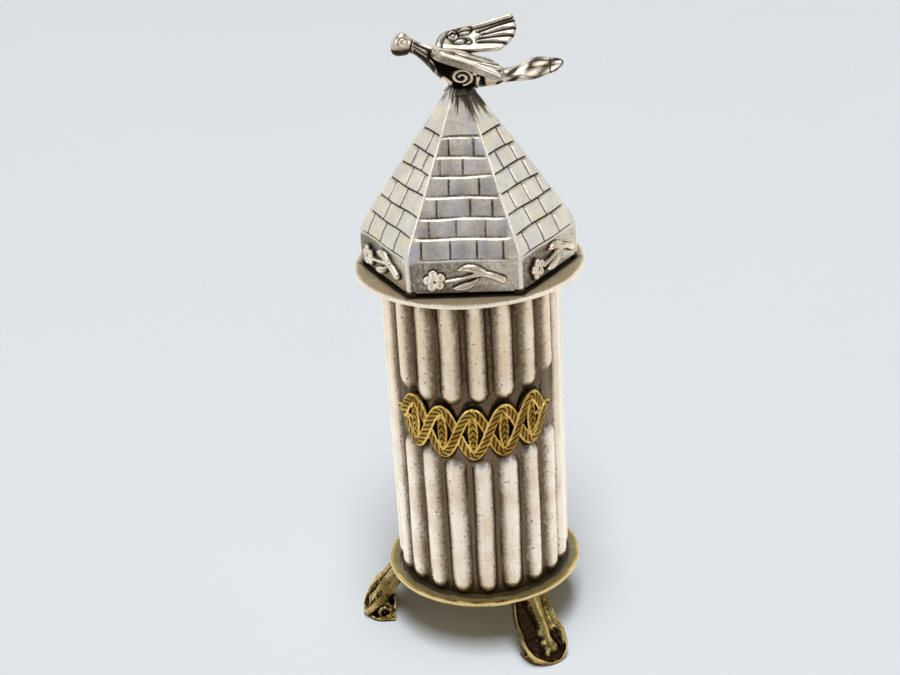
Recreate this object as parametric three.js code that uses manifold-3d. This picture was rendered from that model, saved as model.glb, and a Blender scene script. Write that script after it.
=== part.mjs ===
// A silver spice box: a fluted tube on a round plate with three leaf-shaped feet, and a six-sided
// roof that lifts off, with a bird on its point. Millimetres, +Z up. The origin is the centre of the
// base plate's underside, and the front of the box faces -Y.
import * as THREE from "three";
import { mergeVertices } from "three/addons/utils/BufferGeometryUtils.js";
import Module from "manifold-3d";

const wasm = await Module();
wasm.setup();

// Clearances between pieces, and how far a cutting body runs past what it cuts
const SEAT_GAP = 0.3;
const LID_CLEARANCE = 0.3;
const OVERRUN = 1;
const WELD = 0.0001;

// Base plate: it stands out round the tube
const PLATE_OVERHANG = 2.2;
const PLATE_THICKNESS = 0.85;
const PLATE_EDGE_ROUND = 0.2;

// Feet: the height is from the floor to the plate's underside, the root starts inside the plate's
// rim, and the length is along the floor from the root to the toe
const FOOT_HEIGHT = 12.4;
const FOOT_COUNT = 3;
const FOOT_TURN = THREE.MathUtils.degToRad(4);
const FOOT_ROOT_INSET = 3.3;
const FOOT_LENGTH = 9.8;
const FOOT_HALF_WIDTH = 5.1;
const FOOT_SHEET = 1.3;
const FOOT_TONGUE_RAISE = 1.1;
const FOOT_RIM_RAISE = 0.7;
const FOOT_HEEL_OFFSET = 3;
const FOOT_SOLE_THICKNESS = 1.2;
const FOOT_CURL_RADIUS = 1.6;
const FOOT_CURL_TUBE = 0.75;

// Fluted tube: the radius is that of the crests, and the step is from the valleys up to the pressed
// ground behind the ornament
const TUBE_HEIGHT = 65;
const TUBE_CREST_RADIUS = 17.5;
const FLUTE_DEPTH = 1.3;
const TUBE_PRESSED_STEP = 0.25;
const TUBE_SHEET = 0.7;
const FLUTE_COUNT = 20;
const FLUTE_PHASE = THREE.MathUtils.degToRad(5);
const FLUTE_END_RISE = 0.5;
const FLUTE_END_LENGTH = 1.1;

// Openwork ornament on the front of the tube
const BAND_HEIGHT = 11;
const BAND_LIFT = 31.2;
const BAND_END_RISE = 3.2;
const BAND_HALF_ANGLE = THREE.MathUtils.degToRad(58.5);
const BAND_THICKNESS = 1.1;
const BAND_PRESS_MARGIN = 0.3;
const BAND_PRESS_RAMP = THREE.MathUtils.degToRad(4.5);
const STRAND_WIDTH = 1.9;
const EYE_COUNT = 5;
const EYE_LEAF_WIDTH = 2.1;
const END_LEAF_LENGTH = 2.6;
const LEAF_END_WIDTH = 0.35;

// Top flange: it stands out round the tube, and its lip narrows the tube's mouth
const FLANGE_OVERHANG = 4.75;
const MOUTH_LIP = 0.5;
const FLANGE_THICKNESS = 0.85;
const FLANGE_EDGE_ROUND = 0.25;

// Lid collar and the roof's floor plate
const COLLAR_DEPTH = 6.5;
const COLLAR_WALL = 0.7;
const ROOF_FLOOR_THICKNESS = 0.8;
const ROOF_FLOOR_LIP = 0.6;

// Roof: radii are to the six corners, and the set-back is from the flange's rim
const ROOF_SET_BACK = 1.35;
const ROOF_WALL = 0.8;
const ROOF_BAND_HEIGHT = 7.45;
const ROOF_EAVE_ROUND = 2.4;
const ROOF_HEIGHT = 33.5;
const ROOF_TOP_CORNER_RADIUS = 2.9;
const SLOT_HEIGHT = 0.85;
const TOE_WIDTH = 0.7;

// Flower sprig on each face of the roof's band
const SPRIG_RELIEF = 1;
const SPRIG_LENGTH = 13.6;
const FLOWER_RADIUS = 2.1;
const PETAL_COUNT = 5;
const SPRIG_STEM_WIDTH = 1.1;
const SPRIG_LEAF_WIDTH = 1.35;
const SPRIG_HEIGHT_SHARE = 0.47;

// Finial collar, and the bird's spigot that passes through it
const FINIAL_COLLAR_RADIUS = 2.4;
const FINIAL_COLLAR_HEIGHT = 0.3;
const SPIGOT_RADIUS = 0.8;
const SPIGOT_TAIL = 0.6;
const SPIGOT_ROOT = 1.6;

// Bird: it flies towards -X and banks a little towards the front
const BIRD_LENGTH = 31.5;
const BIRD_HEAD_REACH = 12.4;
const BIRD_HEIGHT = 10.9;
const BIRD_WIDTH = 6;
const BIRD_TAIL_WIDTH = 7.2;
const BIRD_BANK = THREE.MathUtils.degToRad(21);

// Wings: shaped alike, but set by hand, so the left one is shorter, further forward and steeper
const WING_RISE = THREE.MathUtils.degToRad(13);
const LEFT_WING_LENGTH = 13.4;
const LEFT_WING_FORWARD = 0.7;
const LEFT_WING_LIFT = 0.6;
const LEFT_WING_SLOPE = THREE.MathUtils.degToRad(11);
const RIGHT_WING_LENGTH = 14.8;
const RIGHT_WING_SLOPE = THREE.MathUtils.degToRad(7);
const WING_SPAN = 9.9;
const WING_THICKNESS = 1.1;
const WING_BEVEL = 0.3;
const WING_FEATHERS = 5;
const WING_ROOT_OFFSET = 0.4;

// Heights and radii that follow from the sizes above
const TUBE_VALLEY_RADIUS = TUBE_CREST_RADIUS - FLUTE_DEPTH;
const TUBE_PRESSED_RADIUS = TUBE_VALLEY_RADIUS + TUBE_PRESSED_STEP;
const PLATE_RADIUS = TUBE_CREST_RADIUS + PLATE_OVERHANG;
const FOOT_ROOT_REACH = PLATE_RADIUS - FOOT_ROOT_INSET;
const FOOT_TIP_REACH = FOOT_ROOT_REACH + FOOT_LENGTH;
const FOOT_HEEL_REACH = FOOT_ROOT_REACH + FOOT_HEEL_OFFSET;
const FLANGE_RADIUS = TUBE_CREST_RADIUS + FLANGE_OVERHANG;
const MOUTH_RADIUS = TUBE_VALLEY_RADIUS - TUBE_SHEET - MOUTH_LIP;
const ROOF_CORNER_RADIUS = FLANGE_RADIUS - ROOF_SET_BACK;
const FLANGE_BASE = PLATE_THICKNESS + TUBE_HEIGHT;
const FLANGE_TOP = FLANGE_BASE + FLANGE_THICKNESS;
const ROOF_TOP = FLANGE_TOP + ROOF_HEIGHT;
const ROOF_FLOOR_BASE = FLANGE_TOP + SLOT_HEIGHT;
const COLLAR_RADIUS = MOUTH_RADIUS - LID_CLEARANCE;
const COLLAR_INNER_RADIUS = COLLAR_RADIUS - COLLAR_WALL;
const ROOF_FLOOR_HOLE_RADIUS = COLLAR_INNER_RADIUS - ROOF_FLOOR_LIP;
const BAND_INNER_RADIUS = TUBE_PRESSED_RADIUS + SEAT_GAP;
const BAND_OUTER_RADIUS = BAND_INNER_RADIUS + BAND_THICKNESS;
const FINIAL_TOP = ROOF_TOP + FINIAL_COLLAR_HEIGHT;
const BIRD_BASE = FINIAL_TOP + SEAT_GAP;
const ROOF_SIDES = 6;
const ROUND_SEGMENTS = 64;
const SMALL_SEGMENTS = 16;
const CURL_SEGMENTS = 12;
const CURL_TUBE_SEGMENTS = 6;
const STRAND_STEPS = 8;
const EAVE_STEPS = 4;
const FEATHER_STEPS = 3;

// Finishes
const SILVER = { color: 0xd8d0c4, roughness: 0.32, metalness: 1 };
const DARK_SILVER = { color: 0x9a9086, roughness: 0.4, metalness: 1 };
const TARNISHED_SILVER = { color: 0xb4a58a, roughness: 0.45, metalness: 1 };
const GILT = { color: 0xb98f4a, roughness: 0.35, metalness: 1 };
const AGED_BRASS = { color: 0x7d7248, roughness: 0.42, metalness: 1 };

// Conversion between geometries and solids
function toSolid(geometry) {
  const bare = geometry.clone();
  bare.deleteAttribute("normal");
  bare.deleteAttribute("uv");
  const merged = mergeVertices(bare, WELD);
  return new wasm.Manifold(
    new wasm.Mesh({
      numProp: 3,
      vertProperties: new Float32Array(merged.attributes.position.array),
      triVerts: new Uint32Array(merged.index.array),
    }),
  );
}

function toGeometry(solid) {
  const mesh = solid.getMesh();
  const geometry = new THREE.BufferGeometry();
  geometry.setAttribute("position", new THREE.BufferAttribute(mesh.vertProperties, 3));
  geometry.setIndex(new THREE.BufferAttribute(mesh.triVerts, 1));
  return geometry;
}

function joined(geometries) {
  return toGeometry(geometries.map(toSolid).reduce((sum, solid) => sum.add(solid)));
}

function cut(geometry, cutters) {
  const solid = toSolid(geometry);
  return toGeometry(cutters.map(toSolid).reduce((rest, cutter) => rest.subtract(cutter), solid));
}

function named(name, geometry, finish) {
  const shaded = geometry.index ? geometry.toNonIndexed() : geometry;
  shaded.computeVertexNormals();
  const mesh = new THREE.Mesh(shaded, new THREE.MeshStandardMaterial(finish));
  mesh.name = name;
  return mesh;
}

// A closed solid from rings of points, each ring with as many points as the others. The rings are
// joined in order. With loops true the last ring joins the first, otherwise both ends are closed
// by a fan about the ring's centre. The faces are turned outwards by the sign of the volume.
function skin(rings, loops) {
  const count = rings[0].length;
  const points = rings.flat();
  const faces = [];
  const steps = loops ? rings.length : rings.length - 1;
  for (let i = 0; i < steps; i++) {
    const here = i * count;
    const next = ((i + 1) % rings.length) * count;
    for (let j = 0; j < count; j++) {
      const k = (j + 1) % count;
      faces.push(here + j, here + k, next + k, here + j, next + k, next + j);
    }
  }
  if (!loops) {
    const last = (rings.length - 1) * count;
    const centre = (ring) =>
      ring.reduce((sum, p) => sum.add(p), new THREE.Vector3()).divideScalar(ring.length);
    const first = points.push(centre(rings[0])) - 1;
    const final = points.push(centre(rings.at(-1))) - 1;
    for (let j = 0; j < count; j++) {
      const k = (j + 1) % count;
      faces.push(first, k, j, final, last + j, last + k);
    }
  }
  let volume = 0;
  for (let i = 0; i < faces.length; i += 3) {
    const [a, b, c] = faces.slice(i, i + 3).map((index) => points[index]);
    volume += a.dot(b.clone().cross(c));
  }
  if (volume < 0) faces.reverse();
  const geometry = new THREE.BufferGeometry().setFromPoints(points);
  geometry.setIndex(faces);
  return geometry;
}

// A turned piece: [radius, height] pairs round the Z axis
function turned(profile, segments = ROUND_SEGMENTS, start = 0) {
  const points = profile.map(([radius, height]) => new THREE.Vector2(radius, height));
  return new THREE.LatheGeometry(points, segments, start).rotateX(Math.PI / 2);
}

// A round bar from the axis outwards, and the section of a ring with its outer edges softened
function barProfile(radius, low, high) {
  return [
    [0, low],
    [radius, low],
    [radius, high],
    [0, high],
  ];
}

function ringProfile(inner, outer, low, high, round) {
  return [
    [inner, low],
    [outer - round, low],
    [outer, low + round],
    [outer, high - round],
    [outer - round, high],
    [inner, high],
    [inner, low],
  ];
}

function smooth(low, high, value) {
  return THREE.MathUtils.smoothstep(value, low, high);
}

// Base plate: a round disc with a softened edge. Its flat underside is divided at a circle that the
// feet stay outside of
function basePlate() {
  const round = PLATE_EDGE_ROUND;
  return turned([
    [0, 0],
    [FOOT_ROOT_REACH - FOOT_HALF_WIDTH, 0],
    [PLATE_RADIUS - round, 0],
    [PLATE_RADIUS, round],
    [PLATE_RADIUS, PLATE_THICKNESS - round],
    [PLATE_RADIUS - round, PLATE_THICKNESS],
    [0, PLATE_THICKNESS],
  ]);
}

// Foot: modelled reaching along +X. A leaf bends out and down from the plate to the toe, with a
// raised tongue down its middle and raised rims, and stands on a flat sole with a curl on each side.
// Along the leaf: shares of its reach, of the foot's height and of its half width
const LEAF_LINE_SHARES = [
  [0, 0.06, 0.76],
  [0.19, -0.11, 0.79],
  [0.38, -0.28, 0.85],
  [0.56, -0.45, 0.94],
  [0.73, -0.61, 1],
  [0.86, -0.76, 0.92],
  [0.95, -0.89, 0.68],
  [1, -0.98, 0.32],
];
// Across the leaf, from its middle to its edge: shares of the half width, the tongue and the rim
const LEAF_SECTION_SHARES = [
  [0, 1, 0],
  [0.15, 0.9, 0],
  [0.32, 0.1, 0],
  [0.64, 0, 0],
  [0.86, 0, 0.45],
  [1, 0, 1],
];
// One side of the sole, from the heel to the toe: shares of its length and half width
const SOLE_SHARES = [
  [0, 1],
  [0.42, 1],
  [0.68, 0.82],
  [0.88, 0.48],
  [1, 0],
];
const SOLE_WIDTH_SHARE = 0.86;
const CURL_HEIGHT_SHARE = 0.24;

function footLeaf() {
  const line = LEAF_LINE_SHARES.map(
    ([out, down]) => new THREE.Vector3(FOOT_ROOT_REACH + FOOT_LENGTH * out, 0, FOOT_HEIGHT * down),
  );
  const rings = line.map((centre, i) => {
    const before = line[Math.max(i - 1, 0)];
    const after = line[Math.min(i + 1, line.length - 1)];
    const along = after.clone().sub(before).normalize();
    const outward = new THREE.Vector3(-along.z, 0, along.x);
    const half = FOOT_HALF_WIDTH * LEAF_LINE_SHARES[i][2];
    const place = (side, share, height) => {
      const point = centre.clone().addScaledVector(outward, height);
      point.y = side * share * half;
      return point;
    };
    const raiseShare = LEAF_LINE_SHARES[i][2];
    const onTop = (side) => ([share, tongue, rim]) =>
      place(side, share, (FOOT_TONGUE_RAISE * tongue + FOOT_RIM_RAISE * rim) * raiseShare);
    const rightEdgeFirst = [...LEAF_SECTION_SHARES].reverse();
    const top = [...rightEdgeFirst.map(onTop(-1)), ...LEAF_SECTION_SHARES.slice(1).map(onTop(1))];
    const under = [place(1, 1, -FOOT_SHEET), place(0, 0, -FOOT_SHEET), place(-1, 1, -FOOT_SHEET)];
    return [...top, ...under];
  });
  return skin(rings, false);
}

function footSole() {
  const length = FOOT_LENGTH - FOOT_HEEL_OFFSET;
  const half = FOOT_HALF_WIDTH * SOLE_WIDTH_SHARE;
  const side = (sign) =>
    SOLE_SHARES.map(
      ([out, across]) => new THREE.Vector2(FOOT_HEEL_REACH + length * out, sign * half * across),
    );
  const outline = new THREE.Shape([...side(-1), ...side(1).reverse().slice(1)]);
  const upright = { depth: FOOT_SOLE_THICKNESS, bevelEnabled: false };
  return new THREE.ExtrudeGeometry(outline, upright).translate(0, 0, -FOOT_HEIGHT);
}

function footCurl(side) {
  const ring = new THREE.TorusGeometry(
    FOOT_CURL_RADIUS,
    FOOT_CURL_TUBE,
    CURL_TUBE_SEGMENTS,
    CURL_SEGMENTS,
  );
  ring.rotateX(Math.PI / 2);
  const width = FOOT_HALF_WIDTH * SOLE_WIDTH_SHARE - FOOT_CURL_TUBE;
  const height = FOOT_HEIGHT * (CURL_HEIGHT_SHARE - 1);
  return ring.translate(FOOT_HEEL_REACH + FOOT_CURL_RADIUS, side * width, height);
}

function foot() {
  const reach = 2 * FOOT_TIP_REACH;
  const above = new THREE.BoxGeometry(reach, reach, FOOT_HEIGHT).translate(0, 0, FOOT_HEIGHT / 2);
  const below = above.clone().translate(0, 0, -2 * FOOT_HEIGHT);
  const whole = joined([footLeaf(), footSole(), footCurl(-1), footCurl(1)]);
  return cut(whole, [above, below]);
}

// Fluted tube: places across a flute, as shares of its width, with shares of its depth from valley
// to crest. The flutes fade out at the tube's foot to the share below
const FLUTE_SHAPE_SHARES = [
  [-0.5, 0],
  [-0.25, 0.72],
  [-0.08, 1],
  [0.08, 1],
  [0.25, 0.72],
];
const FLUTE_END_SHARE = 0.3;

function bandRise(angle) {
  return BAND_END_RISE * (angle / BAND_HALF_ANGLE) ** 2;
}

function flutedTube() {
  const pressEnd = BAND_HALF_ANGLE + BAND_PRESS_MARGIN / TUBE_CREST_RADIUS;
  const low = BAND_LIFT - BAND_PRESS_MARGIN;
  const high = BAND_LIFT + BAND_HEIGHT + BAND_PRESS_MARGIN;
  // Height above the plate, how much of the band's curve the row follows, flute height, pressing
  const rows = [
    [0, 0, 0, 0],
    [FLUTE_END_RISE, 0, FLUTE_END_SHARE, 0],
    [FLUTE_END_RISE + FLUTE_END_LENGTH, 0, 1, 0],
    [low - FLUTE_END_LENGTH, 1, 1, 0],
    [low, 1, 1, 1],
    [high, 1, 1, 1],
    [high + FLUTE_END_LENGTH, 1, 1, 0],
    [TUBE_HEIGHT, 0, 1, 0],
  ];
  const pitch = (2 * Math.PI) / FLUTE_COUNT;
  const ring = ([height, follows, fluted, pressed], inset) => {
    const points = [];
    for (let flute = 0; flute < FLUTE_COUNT; flute++) {
      for (const [across, raise] of FLUTE_SHAPE_SHARES) {
        const turn = FLUTE_PHASE + (flute + across) * pitch;
        const angle = Math.atan2(Math.sin(turn), Math.cos(turn));
        const press = pressed * (1 - smooth(pressEnd, pressEnd + BAND_PRESS_RAMP, Math.abs(angle)));
        const free = TUBE_VALLEY_RADIUS + FLUTE_DEPTH * raise * fluted;
        const radius = THREE.MathUtils.lerp(free, TUBE_PRESSED_RADIUS, press) - inset;
        const rise = follows * bandRise(Math.min(Math.abs(angle), BAND_HALF_ANGLE));
        const up = PLATE_THICKNESS + height + rise;
        points.push(new THREE.Vector3(radius * Math.sin(angle), -radius * Math.cos(angle), up));
      }
    }
    return points;
  };
  const outer = rows.map((row) => ring(row, 0));
  const inner = rows.map((row) => ring(row, TUBE_SHEET)).reverse();
  return skin([...outer, ...inner], true);
}

// Openwork ornament: strips laid out flat, along the tube's girth and up it, then bent round it
function bent(along, up, radius) {
  const angle = along / BAND_OUTER_RADIUS;
  const height = PLATE_THICKNESS + BAND_LIFT + BAND_HEIGHT / 2 + up + bandRise(angle);
  return new THREE.Vector3(radius * Math.sin(angle), -radius * Math.cos(angle), height);
}

function strip(path, widths, place, inner, outer) {
  const rings = path.map((point, i) => {
    const before = path[Math.max(i - 1, 0)];
    const after = path[Math.min(i + 1, path.length - 1)];
    const along = after.clone().sub(before).normalize();
    const side = new THREE.Vector2(-along.y, along.x).multiplyScalar(widths[i] / 2);
    const left = point.clone().add(side);
    const right = point.clone().sub(side);
    return [
      place(left.x, left.y, inner),
      place(right.x, right.y, inner),
      place(right.x, right.y, outer),
      place(left.x, left.y, outer),
    ];
  });
  return skin(rings, false);
}

// Widths along a leaf, as shares of its greatest: from stalk to tip, and the same from both ends
const LEAF_SHARES = [0.35, 0.8, 1, 0.92, 0.62, 0];
const EYE_LEAF_SHARES = [0.3, 0.78, 1, 0.78, 0.3];

function leafStrip(root, tip, bow, width, shares, place, inner, outer) {
  const middle = root.clone().add(tip).multiplyScalar(0.5);
  const across = tip.clone().sub(root);
  middle.add(new THREE.Vector2(-across.y, across.x).multiplyScalar(bow));
  const curve = new THREE.QuadraticBezierCurve(root, middle, tip);
  const path = curve.getPoints(shares.length - 1);
  const widths = shares.map((share) => Math.max(share * width, LEAF_END_WIDTH));
  return strip(path, widths, place, inner, outer);
}

// Two strands cross and part again in a row of eyes, with a leaf across each eye and at both ends
function ornament() {
  const inner = BAND_INNER_RADIUS;
  const outer = BAND_OUTER_RADIUS;
  const reach = BAND_HALF_ANGLE * outer;
  const half = reach - END_LEAF_LENGTH;
  const swing = (BAND_HEIGHT - STRAND_WIDTH) / 2;
  const eye = (2 * half) / EYE_COUNT;
  const steps = EYE_COUNT * STRAND_STEPS;
  const pieces = [-1, 1].map((side) => {
    const path = [];
    for (let i = 0; i <= steps; i++) {
      const along = (i / steps) * 2 * half;
      path.push(new THREE.Vector2(along - half, side * swing * Math.sin((Math.PI * along) / eye)));
    }
    return strip(path, path.map(() => STRAND_WIDTH), bent, inner, outer);
  });
  for (let i = 0; i < EYE_COUNT; i++) {
    const along = (i + 0.5) * eye - half;
    const low = new THREE.Vector2(along, -swing);
    const high = new THREE.Vector2(along, swing);
    pieces.push(leafStrip(low, high, 0, EYE_LEAF_WIDTH, EYE_LEAF_SHARES, bent, inner, outer));
  }
  for (const side of [-1, 1]) {
    const root = new THREE.Vector2(side * (half - STRAND_WIDTH), 0);
    const tip = new THREE.Vector2(side * reach, 0);
    pieces.push(leafStrip(root, tip, 0, EYE_LEAF_WIDTH, LEAF_SHARES, bent, inner, outer));
  }
  return joined(pieces);
}

// Top flange and the lid's collar
function topFlange() {
  const round = FLANGE_EDGE_ROUND;
  return turned(ringProfile(MOUTH_RADIUS, FLANGE_RADIUS, FLANGE_BASE, FLANGE_TOP, round));
}

function lidCollar() {
  const low = FLANGE_TOP - COLLAR_DEPTH;
  return turned(ringProfile(COLLAR_INNER_RADIUS, COLLAR_RADIUS, low, ROOF_FLOOR_BASE, 0));
}

// Roof: six-sided, with a corner towards +X. The wall keeps its thickness square to each face.
const FACE_SHARE = Math.cos(Math.PI / ROOF_SIDES);

function roofOuter() {
  const eaveTop = FLANGE_TOP + ROOF_BAND_HEIGHT;
  const eave = new THREE.Vector2(ROOF_CORNER_RADIUS, eaveTop);
  const point = new THREE.Vector2(ROOF_TOP_CORNER_RADIUS, ROOF_TOP);
  const below = eave.clone().setY(eaveTop - ROOF_EAVE_ROUND);
  const above = point.clone().sub(eave).setLength(ROOF_EAVE_ROUND).add(eave);
  const curve = new THREE.QuadraticBezierCurve(below, eave, above);
  return [eave.clone().setY(FLANGE_TOP), ...curve.getPoints(EAVE_STEPS), point];
}

function roofShell() {
  const outer = roofOuter();
  const wall = ROOF_WALL / FACE_SHARE;
  const inner = outer.map((point, i) => {
    const before = outer[Math.max(i - 1, 0)];
    const after = outer[Math.min(i + 1, outer.length - 1)];
    const lean = Math.atan2(before.x - after.x, after.y - before.y);
    return [point.x - wall * Math.cos(lean), point.y - wall * Math.sin(lean)];
  });
  inner[0][1] = FLANGE_TOP;
  const ceiling = ROOF_TOP - ROOF_WALL;
  const spigotHole = SPIGOT_RADIUS + SEAT_GAP;
  const last = inner.length - 1;
  const leaning = (inner[last - 1][0] - inner[last][0]) / (inner[last][1] - inner[last - 1][1]);
  inner[last] = [inner[last][0] + leaning * (inner[last][1] - ceiling), ceiling];
  const profile = [...outer.map((p) => [p.x, p.y]), [0, ROOF_TOP], [0, ceiling], ...inner.reverse()];
  const shell = turned([...profile, profile[0]], ROOF_SIDES, Math.PI / 2);
  const hole = barProfile(spigotHole, ceiling - OVERRUN, ROOF_TOP + OVERRUN);
  const cutters = [turned(hole, SMALL_SEGMENTS)];
  const slotLength = ROOF_CORNER_RADIUS - 2 * TOE_WIDTH;
  const apothem = ROOF_CORNER_RADIUS * FACE_SHARE;
  for (let face = 0; face < ROOF_SIDES; face++) {
    const slot = new THREE.BoxGeometry(slotLength, 2 * OVERRUN + 2 * ROOF_WALL, SLOT_HEIGHT + OVERRUN);
    slot.translate(0, -apothem, FLANGE_TOP + (SLOT_HEIGHT - OVERRUN) / 2);
    slot.rotateZ((face * 2 * Math.PI) / ROOF_SIDES);
    cutters.push(slot);
  }
  return cut(shell, cutters);
}

function roofFloor() {
  const corner = ROOF_CORNER_RADIUS - (ROOF_WALL + SEAT_GAP) / FACE_SHARE;
  const top = ROOF_FLOOR_BASE + ROOF_FLOOR_THICKNESS;
  const plate = turned(barProfile(corner, ROOF_FLOOR_BASE, top), ROOF_SIDES, Math.PI / 2);
  const hole = barProfile(ROOF_FLOOR_HOLE_RADIUS, ROOF_FLOOR_BASE - OVERRUN, top + OVERRUN);
  return cut(plate, [turned(hole)]);
}

// Flower sprig, laid out along the face and up it, as shares of the sprig's length
const SPRIG_FLOWER_SHARE = [-0.375, 0.03];
const SPRIG_STEM_SHARES = [
  [-0.24, 0.02, 0.75],
  [-0.05, 0.05, 0.75],
  [0.14, 0.11, 0.9],
  [0.33, 0.08, 1.1],
  [0.5, 0.02, 1.9],
];
const SPRIG_LEAF_SHARES = [
  [0.26, 0.1, -0.08, 0.17, 0.3],
  [0.16, 0.05, -0.14, -0.08, -0.3],
];
const PETAL_SHARE = 0.44;
const PETAL_TOP_SHARE = 0.72;
const PETAL_SEGMENTS = 8;

function sprigPlace(along, up, relief) {
  return new THREE.Vector3(along, -relief, up);
}

function flower(centre) {
  const inner = SEAT_GAP;
  const outer = SEAT_GAP + SPRIG_RELIEF;
  const petal = FLOWER_RADIUS * PETAL_SHARE;
  const petalTop = petal * PETAL_TOP_SHARE;
  const reach = FLOWER_RADIUS - petal;
  const pieces = [];
  for (let i = 0; i < PETAL_COUNT; i++) {
    const angle = (2 * Math.PI * i) / PETAL_COUNT;
    const disc = new THREE.CylinderGeometry(petal, petalTop, SPRIG_RELIEF, PETAL_SEGMENTS);
    const across = centre.x + reach * Math.cos(angle);
    const up = centre.y + reach * Math.sin(angle);
    pieces.push(disc.translate(across, -(inner + outer) / 2, up));
  }
  return pieces;
}

function sprig() {
  const length = SPRIG_LENGTH;
  const inner = SEAT_GAP;
  const outer = SEAT_GAP + SPRIG_RELIEF;
  const at = ([along, up]) => new THREE.Vector2(along * length, up * length);
  const stem = SPRIG_STEM_SHARES.map(at);
  const widths = SPRIG_STEM_SHARES.map(([, , width]) => width * SPRIG_STEM_WIDTH);
  const pieces = [strip(stem, widths, sprigPlace, inner, outer)];
  for (const [x0, y0, x1, y1, bow] of SPRIG_LEAF_SHARES) {
    const root = at([x0, y0]);
    const tip = at([x1, y1]);
    const width = SPRIG_LEAF_WIDTH;
    pieces.push(leafStrip(root, tip, bow, width, LEAF_SHARES, sprigPlace, inner, outer));
  }
  pieces.push(...flower(at(SPRIG_FLOWER_SHARE)));
  return joined(pieces);
}

// Finial collar: a washer on the roof's flat point
function finialCollar() {
  const hole = SPIGOT_RADIUS + SEAT_GAP;
  return turned(ringProfile(hole, FINIAL_COLLAR_RADIUS, ROOF_TOP, FINIAL_TOP, 0), SMALL_SEGMENTS);
}

// Bird. Along the body, from the beak to the tail: shares of its length, of its height above the
// belly, of its height again (half the section's height), and of half its width. The tail's rows
// take their width from the tail, and lean with the bird.
const BIRD_BODY_SHARES = [
  [0, 0.735, 0.03, 0.13],
  [0.016, 0.745, 0.1, 0.34],
  [0.038, 0.775, 0.165, 0.54],
  [0.064, 0.795, 0.192, 0.65],
  [0.092, 0.79, 0.178, 0.6],
  [0.117, 0.77, 0.138, 0.48],
  [0.146, 0.725, 0.133, 0.48],
  [0.187, 0.642, 0.16, 0.57],
  [0.235, 0.541, 0.22, 0.74],
  [0.289, 0.44, 0.275, 0.9],
  [0.362, 0.358, 0.321, 1],
  [0.441, 0.312, 0.312, 1],
  [0.521, 0.262, 0.252, 0.9],
  [0.6, 0.215, 0.188, 0.74],
  [0.663, 0.193, 0.124, 0.56],
];
const BIRD_TAIL_SHARES = [
  [0.727, 0.22, 0.096, 0.58],
  [0.806, 0.284, 0.078, 0.88],
  [0.87, 0.321, 0.069, 1],
  [0.933, 0.339, 0.055, 0.89],
  [0.984, 0.358, 0.041, 0.55],
  [1, 0.367, 0.028, 0.28],
];
const BODY_SEGMENTS = 12;

function birdBody(grow) {
  const forward = new THREE.Vector3(1, 0, 0);
  const row = (width, lean) => ([along, up, height, across]) => {
    const out = BIRD_LENGTH * along - BIRD_HEAD_REACH;
    const centre = new THREE.Vector3(out, 0, BIRD_BASE + BIRD_HEIGHT * up);
    const points = [];
    for (let i = 0; i < BODY_SEGMENTS; i++) {
      const angle = (2 * Math.PI * i) / BODY_SEGMENTS;
      const side = ((across * width) / 2 + grow) * Math.cos(angle);
      const rise = (BIRD_HEIGHT * height + grow) * Math.sin(angle);
      const leaning = new THREE.Vector3(0, side, rise).applyAxisAngle(forward, lean);
      points.push(leaning.add(centre));
    }
    return points;
  };
  const rings = [
    ...BIRD_BODY_SHARES.map(row(BIRD_WIDTH, 0)),
    ...BIRD_TAIL_SHARES.map(row(BIRD_TAIL_WIDTH, BIRD_BANK)),
  ];
  return skin(rings, false);
}

// The spigot runs from inside the belly down through the roof's flat point, with a short tail below
function bird() {
  const low = ROOF_TOP - ROOF_WALL - SPIGOT_TAIL;
  const spigot = turned(barProfile(SPIGOT_RADIUS, low, BIRD_BASE + SPIGOT_ROOT), SMALL_SEGMENTS);
  return joined([birdBody(0), spigot]);
}

// Wing, laid out flat: shares of its length behind the shoulder, and of its span out from the root
const WING_FRONT_SHARES = [
  [0.47, 0.02],
  [0, 0],
  [0.014, 0.24],
  [0.08, 0.42],
  [0.23, 0.54],
  [0.47, 0.68],
  [0.7, 0.85],
  [0.88, 0.98],
];
const WING_TIP_SHARES = [
  [0.932, 1.0],
  [1.12, 0.55],
  [0.764, 0.098],
];
const FEATHER_BULGE_SHARE = 0.28;
const WING_START_SHARE = 0.254;
const WING_HEIGHT_SHARE = 0.64;
const WING_PIVOT_SHARE = 0.52;

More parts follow.
